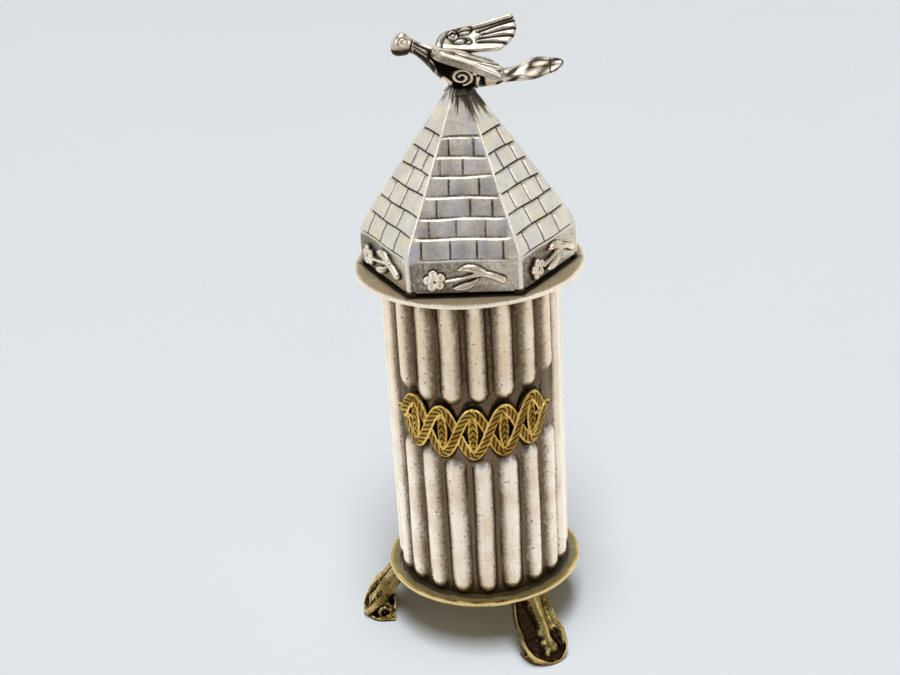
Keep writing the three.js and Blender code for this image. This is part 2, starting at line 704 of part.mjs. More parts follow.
function wing(side, length, forward, lift, slope) {
  const at = ([along, out]) =>
    new THREE.Vector2(length * along, side * (WING_ROOT_OFFSET + WING_SPAN * out));
  const edge = new THREE.QuadraticBezierCurve(...WING_TIP_SHARES.map(at));
  const ends = edge.getPoints(WING_FEATHERS);
  const outline = new THREE.Shape(WING_FRONT_SHARES.map(at));
  outline.lineTo(ends[0].x, ends[0].y);
  for (let feather = 0; feather < WING_FEATHERS; feather++) {
    const from = ends[feather];
    const to = ends[feather + 1];
    const across = to.clone().sub(from);
    const bulge = new THREE.Vector2(-across.y, across.x).multiplyScalar(side * FEATHER_BULGE_SHARE);
    const middle = from.clone().add(to).multiplyScalar(0.5).add(bulge);
    outline.quadraticCurveTo(middle.x, middle.y, to.x, to.y);
  }
  const blade = new THREE.ExtrudeGeometry(outline, {
    depth: WING_THICKNESS - 2 * WING_BEVEL,
    bevelThickness: WING_BEVEL,
    bevelSize: WING_BEVEL,
    bevelOffset: -WING_BEVEL,
    bevelSegments: 1,
    curveSegments: FEATHER_STEPS,
  });
  const pivot = BIRD_HEIGHT * WING_PIVOT_SHARE;
  const start = BIRD_LENGTH * WING_START_SHARE - BIRD_HEAD_REACH - forward;
  blade.rotateX(side * WING_RISE).rotateY(slope);
  blade.translate(start, 0, BIRD_HEIGHT * WING_HEIGHT_SHARE + lift - pivot);
  blade.rotateX(BIRD_BANK).translate(0, 0, BIRD_BASE + pivot);
  return cut(blade, [birdBody(SEAT_GAP)]);
}

// Assembly: the box stands still, and the lid lifts straight off it
const box = new THREE.Group();
box.add(named("base_plate", basePlate(), AGED_BRASS));
const FOOT_NAMES = ["foot_left", "foot_front_right", "foot_back_right"];
FOOT_NAMES.forEach((name, i) => {
  const mesh = named(name, foot(), AGED_BRASS);
  mesh.rotation.z = Math.PI + FOOT_TURN + (i * 2 * Math.PI) / FOOT_COUNT;
  box.add(mesh);
});
box.add(named("fluted_tube", flutedTube(), SILVER));
box.add(named("ornament_band", ornament(), GILT));
box.add(named("top_flange", topFlange(), TARNISHED_SILVER));

const lid = new THREE.Group();
lid.add(named("roof_shell", roofShell(), SILVER));
lid.add(named("roof_floor", roofFloor(), DARK_SILVER));
lid.add(named("lid_collar", lidCollar(), DARK_SILVER));
const sprigShape = sprig();
const sprigHeight = FLANGE_TOP + ROOF_BAND_HEIGHT * SPRIG_HEIGHT_SHARE;
for (let face = 0; face < ROOF_SIDES; face++) {
  const mesh = named(`flower_sprig_${face + 1}`, sprigShape.clone(), SILVER);
  mesh.position.set(0, -ROOF_CORNER_RADIUS * FACE_SHARE, sprigHeight);
  const side = new THREE.Group();
  side.rotation.z = (face * 2 * Math.PI) / ROOF_SIDES;
  side.add(mesh);
  lid.add(side);
}
lid.add(named("finial_collar", finialCollar(), DARK_SILVER));
lid.add(named("bird_body", bird(), SILVER));
const leftWing = wing(-1, LEFT_WING_LENGTH, LEFT_WING_FORWARD, LEFT_WING_LIFT, LEFT_WING_SLOPE);
lid.add(named("bird_wing_left", leftWing, SILVER));
lid.add(named("bird_wing_right", wing(1, RIGHT_WING_LENGTH, 0, 0, RIGHT_WING_SLOPE), SILVER));

const spiceBox = new THREE.Group();
spiceBox.add(box, lid);
export default spiceBox;
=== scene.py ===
import collections
import functools
import math

import bmesh
import bpy
import numpy as np
from mathutils import Matrix, Vector

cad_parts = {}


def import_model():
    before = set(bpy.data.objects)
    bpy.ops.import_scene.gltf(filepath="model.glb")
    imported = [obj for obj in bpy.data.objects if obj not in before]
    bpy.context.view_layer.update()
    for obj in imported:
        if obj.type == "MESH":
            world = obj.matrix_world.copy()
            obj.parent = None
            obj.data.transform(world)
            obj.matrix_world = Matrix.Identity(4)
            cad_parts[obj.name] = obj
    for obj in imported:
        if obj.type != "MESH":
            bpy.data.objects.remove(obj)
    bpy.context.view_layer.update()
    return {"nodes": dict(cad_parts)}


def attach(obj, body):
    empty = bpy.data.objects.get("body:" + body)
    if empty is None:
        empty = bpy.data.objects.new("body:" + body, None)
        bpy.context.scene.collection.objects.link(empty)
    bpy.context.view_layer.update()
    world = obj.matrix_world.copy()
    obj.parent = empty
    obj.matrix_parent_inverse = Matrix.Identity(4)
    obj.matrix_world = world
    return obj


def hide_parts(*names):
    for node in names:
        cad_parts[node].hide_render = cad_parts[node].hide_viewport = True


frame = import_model()

# Sizes are in millimetres, as the model's are, and are turned into metres where a mesh is made
MM = 0.001
TURN = 2 * math.pi
SEED = 7

# Heights
FLOOR = -12.4
PLATE_TOP = 0.85
FLANGE_BASE = 65.85
FLANGE_TOP = 66.7
ROOF_EDGE = 67.55
EAVE = 74.15
ROOF_TOP = 100.2
BIRD_BASE = 100.8

# Radii
PLATE_RADIUS = 19.7
CREST_RADIUS = 17.5
FLUTE_DEPTH = 1.3
FLANGE_RADIUS = 22.25
MOUTH_RADIUS = 15
EAVE_CORNER = 20.9
TOP_CORNER = 2.9
FACE_SHARE = math.cos(math.pi / 6)


# Mesh helpers

def grid(rows, columns, loop_rows=False, loop_columns=False):
    """Quads of a grid of points that is held row by row."""
    i = np.arange(rows if loop_rows else rows - 1)
    j = np.arange(columns if loop_columns else columns - 1)
    i, j = np.meshgrid(i, j, indexing="ij")
    down = (i + 1) % rows
    right = (j + 1) % columns
    corners = [i * columns + j, i * columns + right, down * columns + right, down * columns + j]
    return np.stack(corners, -1).reshape(-1, 4)


def capped(rows, columns):
    """Quads of a tube whose rows run round it, and a face at each end."""
    faces = grid(rows, columns, False, True).tolist()
    first = list(range(columns))
    return faces + [first, [(rows - 1) * columns + i for i in first]]


def merged(parts):
    """Joins (points, faces, darkness) sets into one."""
    points, faces, dark = [], [], []
    start = 0
    for some, quads, stain in parts:
        some = np.reshape(some, (-1, 3))
        points.append(some)
        faces.extend((np.asarray(row) + start).tolist() for row in quads)
        dark.append(np.broadcast_to(np.ravel(stain), len(some)))
        start += len(some)
    return np.concatenate(points), faces, np.concatenate(dark)


def in_scene(name, data):
    """A new object, linked to the scene."""
    obj = bpy.data.objects.new(name, data)
    bpy.context.scene.collection.objects.link(obj)
    return obj


def piece(name, shape, body, material, replaced=(), sharp=math.radians(38)):
    """A piece of the object from (points, faces, darkness), which rides on a body."""
    points, faces, dark = shape
    mesh = bpy.data.meshes.new(name)
    mesh.from_pydata((np.reshape(points, (-1, 3)) * MM).tolist(), [], [list(f) for f in faces])
    layer = mesh.attributes.new("dark", "FLOAT", "POINT")
    layer.data.foreach_set("value", np.clip(dark, -1, 2).astype(np.float32))
    build = bmesh.new()
    build.from_mesh(mesh)
    bmesh.ops.remove_doubles(build, verts=build.verts, dist=1e-7)
    bmesh.ops.recalc_face_normals(build, faces=build.faces)
    build.to_mesh(mesh)
    build.free()
    mesh.polygons.foreach_set("use_smooth", [True] * len(mesh.polygons))
    mesh.set_sharp_from_angle(angle=sharp)
    mesh.materials.append(material)
    obj = in_scene(name, mesh)
    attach(obj, body)
    if replaced:
        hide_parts(*replaced)


def around(segments):
    """Even steps of angle over a full turn."""
    return np.arange(segments) * TURN / segments


def spun(a, b, angle):
    """A pair of coordinates turned from the first axis towards the second."""
    return a * np.cos(angle) - b * np.sin(angle), a * np.sin(angle) + b * np.cos(angle)


def turned(points, angle):
    """Points turned round the Z axis."""
    x, y = spun(points[..., 0], points[..., 1], angle)
    return np.stack([x, y, points[..., 2]], -1)


def round_z(radius, angle, z):
    """Points round the Z axis, with the angle measured from the front."""
    return np.stack(np.broadcast_arrays(radius * np.sin(angle), -radius * np.cos(angle), z), -1)


def lathe(profile, segments, wave=None):
    """A closed ring or disc from (radius, height) pairs, which wave(radius, height, angle) bends."""
    angle = around(segments)
    rows = []
    for radius, z in profile:
        r, h = (radius, z) if wave is None else wave(radius, z, angle)
        rows.append(round_z(r, angle, h))
    return np.reshape(rows, (-1, 3)), grid(len(profile), segments, False, True)


def spread(values, steps):
    """Cubic curves through rows of values, with steps points from each row to the next."""
    values = np.asarray(values, float)
    slope = np.gradient(values, axis=0)
    out = []
    for i in range(len(values) - 1):
        for t in np.arange(steps) / steps:
            h0 = 2 * t**3 - 3 * t**2 + 1
            h1 = t**3 - 2 * t**2 + t
            h2 = 3 * t**2 - 2 * t**3
            h3 = t**3 - t**2
            out.append(h0 * values[i] + h1 * slope[i] + h2 * values[i + 1] + h3 * slope[i + 1])
    out.append(values[-1])
    return np.array(out)


def bezier(a, b, c, t):
    """Points at the shares t of the way along a curve from a to c, which b draws aside."""
    t = np.asarray(t)[:, None]
    return (1 - t) ** 2 * np.asarray(a) + 2 * t * (1 - t) * np.asarray(b) + t**2 * np.asarray(c)


def smooth(low, high, value):
    """A soft step from 0 at low to 1 at high, or down again where low is the larger."""
    t = np.clip((np.asarray(value, float) - low) / (high - low), 0, 1)
    return t * t * (3 - 2 * t)


def hump(value, width):
    """A soft peak of 1 where the value is zero."""
    return np.exp(-((np.asarray(value, float) / width) ** 2))


def dome(share):
    """The height of a quarter round, from 0 at its edge to 1 at its crown."""
    return np.sqrt(1 - (1 - share) ** 2)


def largest(*layers):
    """The largest of several layers at each place."""
    return functools.reduce(np.maximum, layers)


def to_path(points, path):
    """Distance of flat points from a path, and how far along and across it they lie."""
    path = np.asarray(path, float)
    step = np.diff(path, axis=0)
    length = np.linalg.norm(step, axis=1)
    start = np.concatenate([[0], np.cumsum(length)[:-1]])
    best = np.full(len(points), np.inf)
    along = np.zeros(len(points))
    across = np.zeros(len(points))
    for i in np.nonzero(length)[0]:
        rel = points - path[i]
        t = np.clip(rel @ step[i] / length[i] ** 2, 0, 1)
        off = rel - t[:, None] * step[i]
        dist = np.hypot(off[:, 0], off[:, 1])
        side = (step[i][0] * rel[:, 1] - step[i][1] * rel[:, 0]) / length[i]
        near = dist < best
        best[near] = dist[near]
        along[near] = (start[i] + t * length[i])[near]
        across[near] = side[near]
    return best, along, across


def onto_outline(points, distance, tiny):
    """Moves flat points onto the line where their distance is zero."""
    for _ in range(2):
        east = distance(points + [tiny, 0]) - distance(points - [tiny, 0])
        north = distance(points + [0, tiny]) - distance(points - [0, tiny])
        slope = np.stack([east, north], 1) / (2 * tiny)
        steep = np.maximum((slope**2).sum(1), 0.2)
        points = points - slope * (distance(points) / steep)[:, None]
    return points


def relief(low, high, step, distance, form):
    """A flat shape with an uneven face: distance(points) is below zero inside its outline, and
    form(points) gives each point's front and back places and its darkness."""
    xs = np.arange(low[0], high[0] + step, step)
    ys = np.arange(low[1], high[1] + step, step)
    points = np.stack(np.meshgrid(xs, ys, indexing="ij"), -1).reshape(-1, 2)
    signed = distance(points)
    cells = grid(len(xs), len(ys))
    inside = signed[cells] < 0
    cells = cells[inside.any(1) & (signed[cells].max(1) < 1.2 * step)]
    outer = np.intersect1d(np.nonzero(signed > 0)[0], cells)
    points[outer] = onto_outline(points[outer], distance, step / 8)
    used, cells = np.unique(cells, return_inverse=True)
    cells = cells.reshape(-1, 4)
    front, back, dark = form(points[used])
    count = len(used)
    edges = np.concatenate([cells[:, [k, (k + 1) % 4]] for k in range(4)])
    _, first, seen = np.unique(np.sort(edges, 1), axis=0, return_index=True, return_counts=True)
    rim = edges[first[seen == 1]]
    walls = np.stack([rim[:, 1], rim[:, 0], rim[:, 0] + count, rim[:, 1] + count], 1)
    faces = np.concatenate([cells, cells[:, ::-1] + count, walls])
    return np.concatenate([front, back]), faces, np.concatenate([dark, dark])


# Materials

# Scales of the noises, in waves per metre
CLOUD = 170.0
GRAIN = 2300.0
STREAK = 1900.0
BLOTCH = 2100.0
PIT = 1300.0
DRIFT = 420.0
PATCH = 620.0
DENT = 330.0
GRAIN_BUMP = 0.04 * MM


class Tree:
    """Adds nodes to a shader tree: an input that is a socket is linked, and a value is set."""

    def __init__(self, owner):
        owner.use_nodes = True
        self.tree = owner.node_tree
        self.tree.nodes.clear()

    def add(self, kind, inputs=None, **settings):
        node = self.tree.nodes.new(kind)
        for key, value in settings.items():
            setattr(node, key, value)
        for key, value in (inputs or {}).items():
            if isinstance(value, bpy.types.NodeSocket):
                self.tree.links.new(value, node.inputs[key])
            else:
                node.inputs[key].default_value = value
        return node

    def math(self, operation, a, b):
        return self.add("ShaderNodeMath", {0: a, 1: b}, operation=operation).outputs[0]

    def vector(self, operation, *inputs):
        return self.add("ShaderNodeVectorMath", dict(enumerate(inputs)), operation=operation)

    def ramp(self, value, low, high, to_low=0.0, to_high=1.0):
        inputs = {"Value": value, "From Min": low, "From Max": high, "To Min": to_low, "To Max": to_high}
        return self.add("ShaderNodeMapRange", inputs, interpolation_type="SMOOTHSTEP").outputs[0]

    def mix(self, factor, a, b):
        inputs = {"Factor": factor, 6: a, 7: b}
        return self.add("ShaderNodeMix", inputs, data_type="RGBA").outputs[2]

    def noise(self, place, scale, detail=3.0, rough=0.55):
        inputs = {"Vector": place, "Scale": scale, "Detail": detail, "Roughness": rough}
        return self.add("ShaderNodeTexNoise", inputs).outputs["Fac"]

    def squeezed(self, place, share):
        """The place with its height squeezed, which draws a noise out upwards."""
        return self.add("ShaderNodeMapping", {"Vector": place, "Scale": (1.0, 1.0, share)}).outputs[0]


def rgb(red, green, blue):
    """A colour as it shows, from 0 to 255, as the linear values that a shader takes."""
    def linear(value):
        share = value / 255
        return share / 12.92 if share <= 0.04045 else ((share + 0.055) / 1.055) ** 2.4
    return (linear(red), linear(green), linear(blue), 1.0)


def open_metal(tree, place, deep, cloud, light, warm, cool):
    """The open surface's colour: warm clouds, cool drifts, and brighter where the darkness is below zero,
    as worn metal and as painted highlights.
    """
    color = tree.mix(tree.ramp(cloud, 0.38, 0.62), light, warm)
    if cool:
        drift = tree.noise(tree.squeezed(place, 0.5), DRIFT)
        color = tree.mix(tree.ramp(drift, 0.42, 0.62, 0.0, 0.6), color, cool)
    # Below zero the colour is painted brighter: partly wear, partly painted highlights
    worn_and_highlight = tuple(value**0.5 for value in light)
    return tree.mix(tree.ramp(deep, -0.8, -0.1, 1.0, 0.0), color, worn_and_highlight)


def deposit(tree, place, deep, ragged, grain, reach, ragged_by, flecks):
    """How much of the deposit covers each place, patina and painted shade alike: ragged at its edge, with
    flecks in the open.
    """
    fine = tree.ramp(grain, 0.2, 0.8, -ragged_by, ragged_by)
    total = tree.math("ADD", tree.math("ADD", deep, ragged), fine)
    pits = tree.math("ADD", tree.noise(place, PIT, 2.0), tree.ramp(deep, 0.0, 0.7, -0.01, 0.08))
    return tree.math("MAXIMUM", tree.ramp(total, *reach), tree.ramp(pits, 0.66, 0.73, 0.0, flecks))


def tinted(tree, place, height, deep, ragged, color, tint):
    """The colour warmed from one height to another, in patches, as a painted reflection of the darker
    surroundings that the metal mirrors higher up, and less where it is worn bright or painted bright.
    """
    low, high, tone = tint
    rise = tree.math("ADD", tree.ramp(height, low * MM, high * MM), ragged)
    patchy = tree.ramp(tree.noise(tree.squeezed(place, 0.5), PATCH, 4.0), 0.38, 0.62, 0.5, 1.0)
    kept = tree.ramp(deep, -0.7, 0.0, 0.1, 1.0)
    return tree.mix(tree.math("MULTIPLY", rise, tree.math("MULTIPLY", patchy, kept)), color, tone)


def sooted(tree, place, split, shade, soot):
    """The deposit with dark strokes that fan out from the axis, ever denser upwards."""
    low, high = soot
    round_about = tree.vector("NORMALIZE", tree.squeezed(place, 0.0)).outputs[0]
    lift = tree.add("ShaderNodeCombineXYZ", {2: tree.math("MULTIPLY", split.outputs[2], 22.0)})
    aim = tree.vector("ADD", round_about, lift.outputs[0])
    stroke = tree.noise(aim.outputs[0], 6.5, 4.0, 0.7)
    near = tree.ramp(split.outputs[2], low * MM, high * MM, -0.34, 0.2)
    near = tree.math("ADD", near, tree.ramp(split.outputs[0], -2.6 * MM, 1.2 * MM, -0.2, 0.03))
    laid = tree.ramp(tree.math("ADD", stroke, near), 0.42, 0.56, 0.0, 0.92)
    return tree.math("MAXIMUM", shade, laid)


def bumped(tree, place, grain, streak, grain_depth, dents):
    """The surface's small unevenness: grain and scratches, on soft dents."""
    height = tree.math("ADD", grain, tree.math("MULTIPLY", streak, 0.6))
    inputs = {"Height": height, "Strength": grain_depth, "Distance": GRAIN_BUMP}
    if dents:
        soft = {"Height": tree.noise(place, DENT, 2.0), "Strength": 1.0, "Distance": dents * MM}
        inputs["Normal"] = tree.add("ShaderNodeBump", soft).outputs[0]
    return tree.add("ShaderNodeBump", inputs).outputs[0]


def metal_with_wear_and_painted_light(name, light, warm, dark, polish=0.3, dull=0.6, reach=(0.35, 0.85), ragged_by=0.1,
               flecks=0.5, streaks=0.3, grain_depth=0.2, dents=0.0, mottle=0.0, film=0.0, cool=None,
               tint=None, soot=None):
    """Metal with a deposit where the piece's darkness is above zero: patina in its hollows, and
    painted shade where a piece lays it on. Below zero it is painted brighter, as wear and as
    painted highlights, and above one it is a painted shadow. Polish and dull are the roughness of
    the metal and of the deposit, and reach is the darkness where the deposit begins and where it
    is full. Mottle makes it uneven, and a film lets it scatter light instead of mirroring it. A
    tint (low, high, colour) warms the metal from one height to another, as a painted reflection,
    and soot (low, high) lays dark strokes that fan out from the axis."""
    material = bpy.data.materials.new(name)
    tree = Tree(material)
    place = tree.add("ShaderNodeTexCoord").outputs["Object"]
    split = tree.add("ShaderNodeSeparateXYZ", {0: place})
    deep = tree.add("ShaderNodeAttribute", attribute_name="dark").outputs["Fac"]
    cloud = tree.noise(place, CLOUD, 4.0)
    grain = tree.noise(place, GRAIN)
    streak = tree.noise(tree.squeezed(place, 0.12), STREAK)
    ragged = tree.ramp(cloud, 0.2, 0.8, -ragged_by, ragged_by)
    if mottle:
        blotch = tree.noise(tree.squeezed(place, 0.6), BLOTCH, 3.0, 0.65)
        deep = tree.math("MULTIPLY", deep, tree.ramp(blotch, 0.32, 0.68, 1 - mottle, 1 + mottle))
    shade = deposit(tree, place, deep, ragged, grain, reach, ragged_by, flecks)
    color = open_metal(tree, place, deep, cloud, light, warm, cool)
    color = tree.mix(tree.ramp(streak, 0.45, 0.75, 0.0, streaks), color, dark)
    if tint:
        color = tinted(tree, place, split.outputs[2], deep, ragged, color, tint)
    if soot:
        shade = sooted(tree, place, split, shade, soot)
    color = tree.mix(shade, color, dark)
    # Where the darkness is above one, the colour goes towards near black as a painted shadow
    shadow = tuple(0.14 * value for value in dark[:3]) + (1.0,)
    color = tree.mix(tree.ramp(deep, 1.1, 1.8), color, shadow)
    even = tree.ramp(shade, 0.0, 1.0, polish, dull)
    shader = tree.add("ShaderNodeBsdfPrincipled", {
        "Base Color": color,
        "Roughness": tree.math("ADD", even, tree.ramp(grain, 0.3, 0.7, -0.05, 0.07)),
        "Metallic": tree.ramp(shade, 0.0, 1.0, 1.0, 1 - film) if film else 1.0,
        "Normal": bumped(tree, place, grain, streak, grain_depth, dents),
    })
    tree.add("ShaderNodeOutputMaterial", {"Surface": shader.outputs[0]})
    return material


# The tube's silver: its tint warms the flutes upwards as a painted reflection of the darker surroundings
# they mirror higher up
SILVER = metal_with_wear_and_painted_light("silver_with_wear_and_painted_light", rgb(255, 252, 246), rgb(242, 228, 216), rgb(112, 97, 80),
                    polish=0.26, dull=0.34, reach=(0.12, 1.0), ragged_by=0.055, flecks=0.9, streaks=0.1,
                    dents=0.2, mottle=0.14, tint=(20, 56, rgb(233, 217, 196)))
ROOF_SILVER = metal_with_wear_and_painted_light("roof_silver", rgb(252, 246, 232), rgb(242, 232, 212), rgb(66, 56, 40),
                         polish=0.26, dull=0.44, reach=(0.3, 0.85), ragged_by=0.05, flecks=0.35,
                         streaks=0.12, grain_depth=0.04, dents=0.1, mottle=0.08,
                         cool=rgb(226, 228, 232), soot=(92, 102))
CAST_SILVER = metal_with_wear_and_painted_light("cast_silver", rgb(252, 247, 236), rgb(232, 220, 202), rgb(58, 49, 38),
                         polish=0.24, dull=0.5, reach=(0.3, 0.8), ragged_by=0.08, flecks=0.4,
                         streaks=0.1, grain_depth=0.15, dents=0.08)
BIRD_SILVER = metal_with_wear_and_painted_light("bird_silver", rgb(242, 235, 224), rgb(206, 195, 177), rgb(50, 43, 33),
                         polish=0.12, dull=0.34, reach=(0.2, 0.85), ragged_by=0.05, flecks=0.35,
                         streaks=0.12, grain_depth=0.03, dents=0.12)
TARNISH = metal_with_wear_and_painted_light("tarnished_rim", rgb(255, 245, 226), rgb(244, 230, 204), rgb(154, 138, 110),
                     polish=0.24, dull=0.5, reach=(0.1, 0.8), flecks=0.35, streaks=0.12, film=0.75)
GILT = metal_with_wear_and_painted_light("gilt_ornament", rgb(240, 204, 108), rgb(206, 165, 76), rgb(58, 39, 14),
                  polish=0.18, dull=0.42, reach=(0.15, 0.9), ragged_by=0.07, flecks=0.3, streaks=0.12)
AGED_GILT = metal_with_wear_and_painted_light("aged_gilt", rgb(212, 192, 124), rgb(154, 132, 74), rgb(38, 27, 18),
                       polish=0.15, dull=0.2, reach=(0.15, 0.9), ragged_by=0.09, streaks=0.12,
                       grain_depth=0.1, dents=0.5, mottle=0.3)
PLATE_GILT = metal_with_wear_and_painted_light("plate_gilt", rgb(232, 204, 132), rgb(196, 172, 106), rgb(122, 110, 70),
                        polish=0.2, dull=0.42, reach=(0.15, 1.0), ragged_by=0.16, flecks=0.6,
                        streaks=0.2, grain_depth=0.16, dents=0.15, film=0.6)
SOLDER = metal_with_wear_and_painted_light("solder", rgb(156, 146, 122), rgb(126, 114, 90), rgb(56, 47, 35),
                    polish=0.34, reach=(0.3, 0.9), streaks=0.1)
# Silver darkened as painted shade, for the pieces inside the lid
SHADED_INNER_SILVER = metal_with_wear_and_painted_light("shaded_inner_silver", rgb(104, 94, 80), rgb(84, 74, 62), rgb(36, 30, 24),
                          polish=0.4, dull=0.65, reach=(0.4, 1.0))


# Base plate, the solder round the tube's foot, and the top flange

PLATE_EDGE = 0.28
PLATE_FACE = PLATE_TOP - 0.06
# Radius, height and darkness, from the middle of the underside round the rim to the top's middle. Below
# zero on the rim the darkness is worn metal and a painted highlight, and above one by the tube's foot it is
# a painted shadow.
PLATE_PROFILE = [
    (0.01, 0, 0.8), (PLATE_RADIUS - PLATE_EDGE, 0, 0.7), (PLATE_RADIUS - 0.08, 0.1, 0.4),
    (PLATE_RADIUS, 0.3, 0.05), (PLATE_RADIUS, PLATE_TOP - 0.3, -0.9),
    (PLATE_RADIUS - 0.07, PLATE_TOP - 0.08, -0.5), (PLATE_RADIUS - PLATE_EDGE, PLATE_TOP, 0.3),
    (PLATE_RADIUS - 0.7, PLATE_TOP - 0.03, 0.6), (PLATE_RADIUS - 1.1, PLATE_FACE, 0.7),
    (18.0, PLATE_FACE, 0.85), (17.5, PLATE_FACE, 1.5), (15, PLATE_FACE, 1.6), (0.01, PLATE_FACE, 1.6),
]
SOLDER_ROWS = 8
SOLDER_RADIUS = 17.45
SOLDER_HALF = 0.18
FLANGE_EDGE = 0.25
FLANGE_ROUND = 0.07
FLANGE_DARK = 0.76
FLANGE_WARP = 0.6


def base_plate():
    """The plate, with a rim that isn't quite round, worn bright with a painted highlight, and painted shade
    on its ring.
    """
    profile = np.array(PLATE_PROFILE)
    segments = 220

    def wave(radius, z, angle):
        return radius + 0.05 * np.sin(3 * angle + 1) * (radius > 15), z

    points, faces = lathe(profile[:, :2], segments, wave)
    dark = profile[:, 2:]
    # Painted shade: the ring darker at the left and right sides than at the front and back
    shade_beside = 0.3 * np.abs(np.sin(around(segments))) - 0.12
    dark = (dark + shade_beside * (dark > 0.5)).ravel()
    piece("base_disc", (points, faces, dark), "box", PLATE_GILT, ["base_plate"])


def foot_solder():
    """A bead of solder of uneven width that follows the flutes round the tube's foot."""
    rng = np.random.default_rng(SEED)
    segments = 480
    angle = around(segments)
    lobe = 0.5 + 0.5 * np.cos(FLUTES * (angle - FLUTE_PHASE))
    drift = sum(rng.normal(0, 0.06) * np.sin(k * angle + rng.uniform(0, TURN)) for k in (3, 7, 11, 17))
    middle = SOLDER_RADIUS + 0.5 * lobe + drift
    thick = SOLDER_HALF + 0.1 * (1 - lobe)
    rows = [round_z(middle + thick * np.cos(turn), angle, PLATE_TOP + 0.02 + 0.55 * thick * np.sin(turn))
            for turn in around(SOLDER_ROWS)]
    dark = np.tile(0.3 + 0.3 * (1 - lobe), SOLDER_ROWS)
    faces = grid(SOLDER_ROWS, segments, True, True)
    piece("foot_solder", (rows, faces, dark), "box", SOLDER)


def off_face(angle):
    """The angle from the middle of the nearest of the roof's faces."""
    return (angle + math.pi / 6) % (math.pi / 3) - math.pi / 6


def top_flange():
    """The flange, a little warped, with a rim worn bright that carries a painted highlight, and a painted
    shadow along the roof's foot.
    """
    high, low, edge, bend = FLANGE_TOP, FLANGE_BASE, FLANGE_EDGE, FLANGE_ROUND
    # Radius, height and darkness: below zero on the rim a painted highlight on worn metal, and above one at
    # the mouth, under the roof, a painted shadow
    rim = [(MOUTH_RADIUS, low, 0.5), (MOUTH_RADIUS + edge, low, 0.5), (FLANGE_RADIUS - edge, low, 0.5),
           (FLANGE_RADIUS - bend, low + bend, 0.4), (FLANGE_RADIUS, low + edge, 0.05),
           (FLANGE_RADIUS, high - edge, -1), (FLANGE_RADIUS - bend, high - bend, -0.8),
           (FLANGE_RADIUS - edge, high, 0.3)]
    top = [(radius, high - 0.03, FLANGE_DARK) for radius in np.arange(21.4, 17.3, -0.4)]
    mouth = [(MOUTH_RADIUS + edge, high - 0.02, 2.0), (MOUTH_RADIUS, high - edge, 1.2),
             (MOUTH_RADIUS, low, 0.5)]
    profile = np.array(rim + top + mouth)
    segments = 240

    def wave(radius, z, angle):
        lift = 0.07 * np.sin(2 * angle + 0.6) + 0.03 * np.sin(5 * angle)
        outwards = (radius - MOUTH_RADIUS) / (FLANGE_RADIUS - MOUTH_RADIUS)
        return radius, z - 0.05 + lift * outwards * FLANGE_WARP

    points, faces = lathe(profile[:, :2], segments, wave)
    dark = profile[:, 2:] + np.zeros(segments)
    # Painted shadow of the roof on the flange, in a dark line along its foot
    to_roof = profile[:, :1] * np.cos(off_face(around(segments))) - EAVE_CORNER * FACE_SHARE
    on_top = slice(len(rim), len(rim) + len(top))
    dark[on_top] += 1.4 * smooth(0.9, 0.1, to_roof[on_top])
    shape = (points, faces, dark.ravel())
    piece("flange_ring", shape, "box", TARNISH, ["top_flange"])


# Fluted tube

FLUTES = 20
FLUTE_PHASE = math.radians(5)
FLUTE_HALF = 2.45
FLUTE_FOOT = 0.5
FLUTE_CLEARANCE = 0.65
FLUTE_PRESSED = 0.2
TUBE_SHEET = 0.7
TUBE_INNER_ROWS = [FLANGE_BASE, 50, 36, 20, 6, PLATE_TOP]
BEYOND_TUBE = 1e3
BAND_LOW = 32.05
BAND_HIGH = 43.05
BAND_MIDDLE = (BAND_LOW + BAND_HIGH) / 2
BAND_HEIGHT = BAND_HIGH - BAND_LOW
BAND_HALF_ANGLE = math.radians(58.5)
BAND_END_RISE = 3.2
BAND_INNER = 16.75
BAND_THICKNESS = 1.1
BAND_OUTER = BAND_INNER + BAND_THICKNESS
STRAND_HALF = 0.95
STRAND_SWING = BAND_HEIGHT / 2 - STRAND_HALF
EYES = 5
END_LEAF = 2.6
ORNAMENT_REACH = BAND_HALF_ANGLE * BAND_OUTER
ORNAMENT_HALF = ORNAMENT_REACH - END_LEAF
ORNAMENT_EYE = 2 * ORNAMENT_HALF / EYES


def band_rise(angle):
    """How far the ornament's line lies higher at an angle than in the middle of the front."""
    return BAND_END_RISE * (angle / BAND_HALF_ANGLE) ** 2


def tube_rise(angle):
    """The same on the tube, where it stays level beyond the ornament's ends."""
    return band_rise(np.clip(angle, -BAND_HALF_ANGLE, BAND_HALF_ANGLE))


def strand_reach(x, spans):
    """How far the ornament's strands reach up and down within some spans to each side of x."""
    outline = np.zeros_like(x)
    for off in spans:
        swing = STRAND_SWING * np.abs(np.sin(math.pi * (x + off + ORNAMENT_HALF) / ORNAMENT_EYE))
        outline = np.maximum(outline, swing + STRAND_HALF)
    return outline


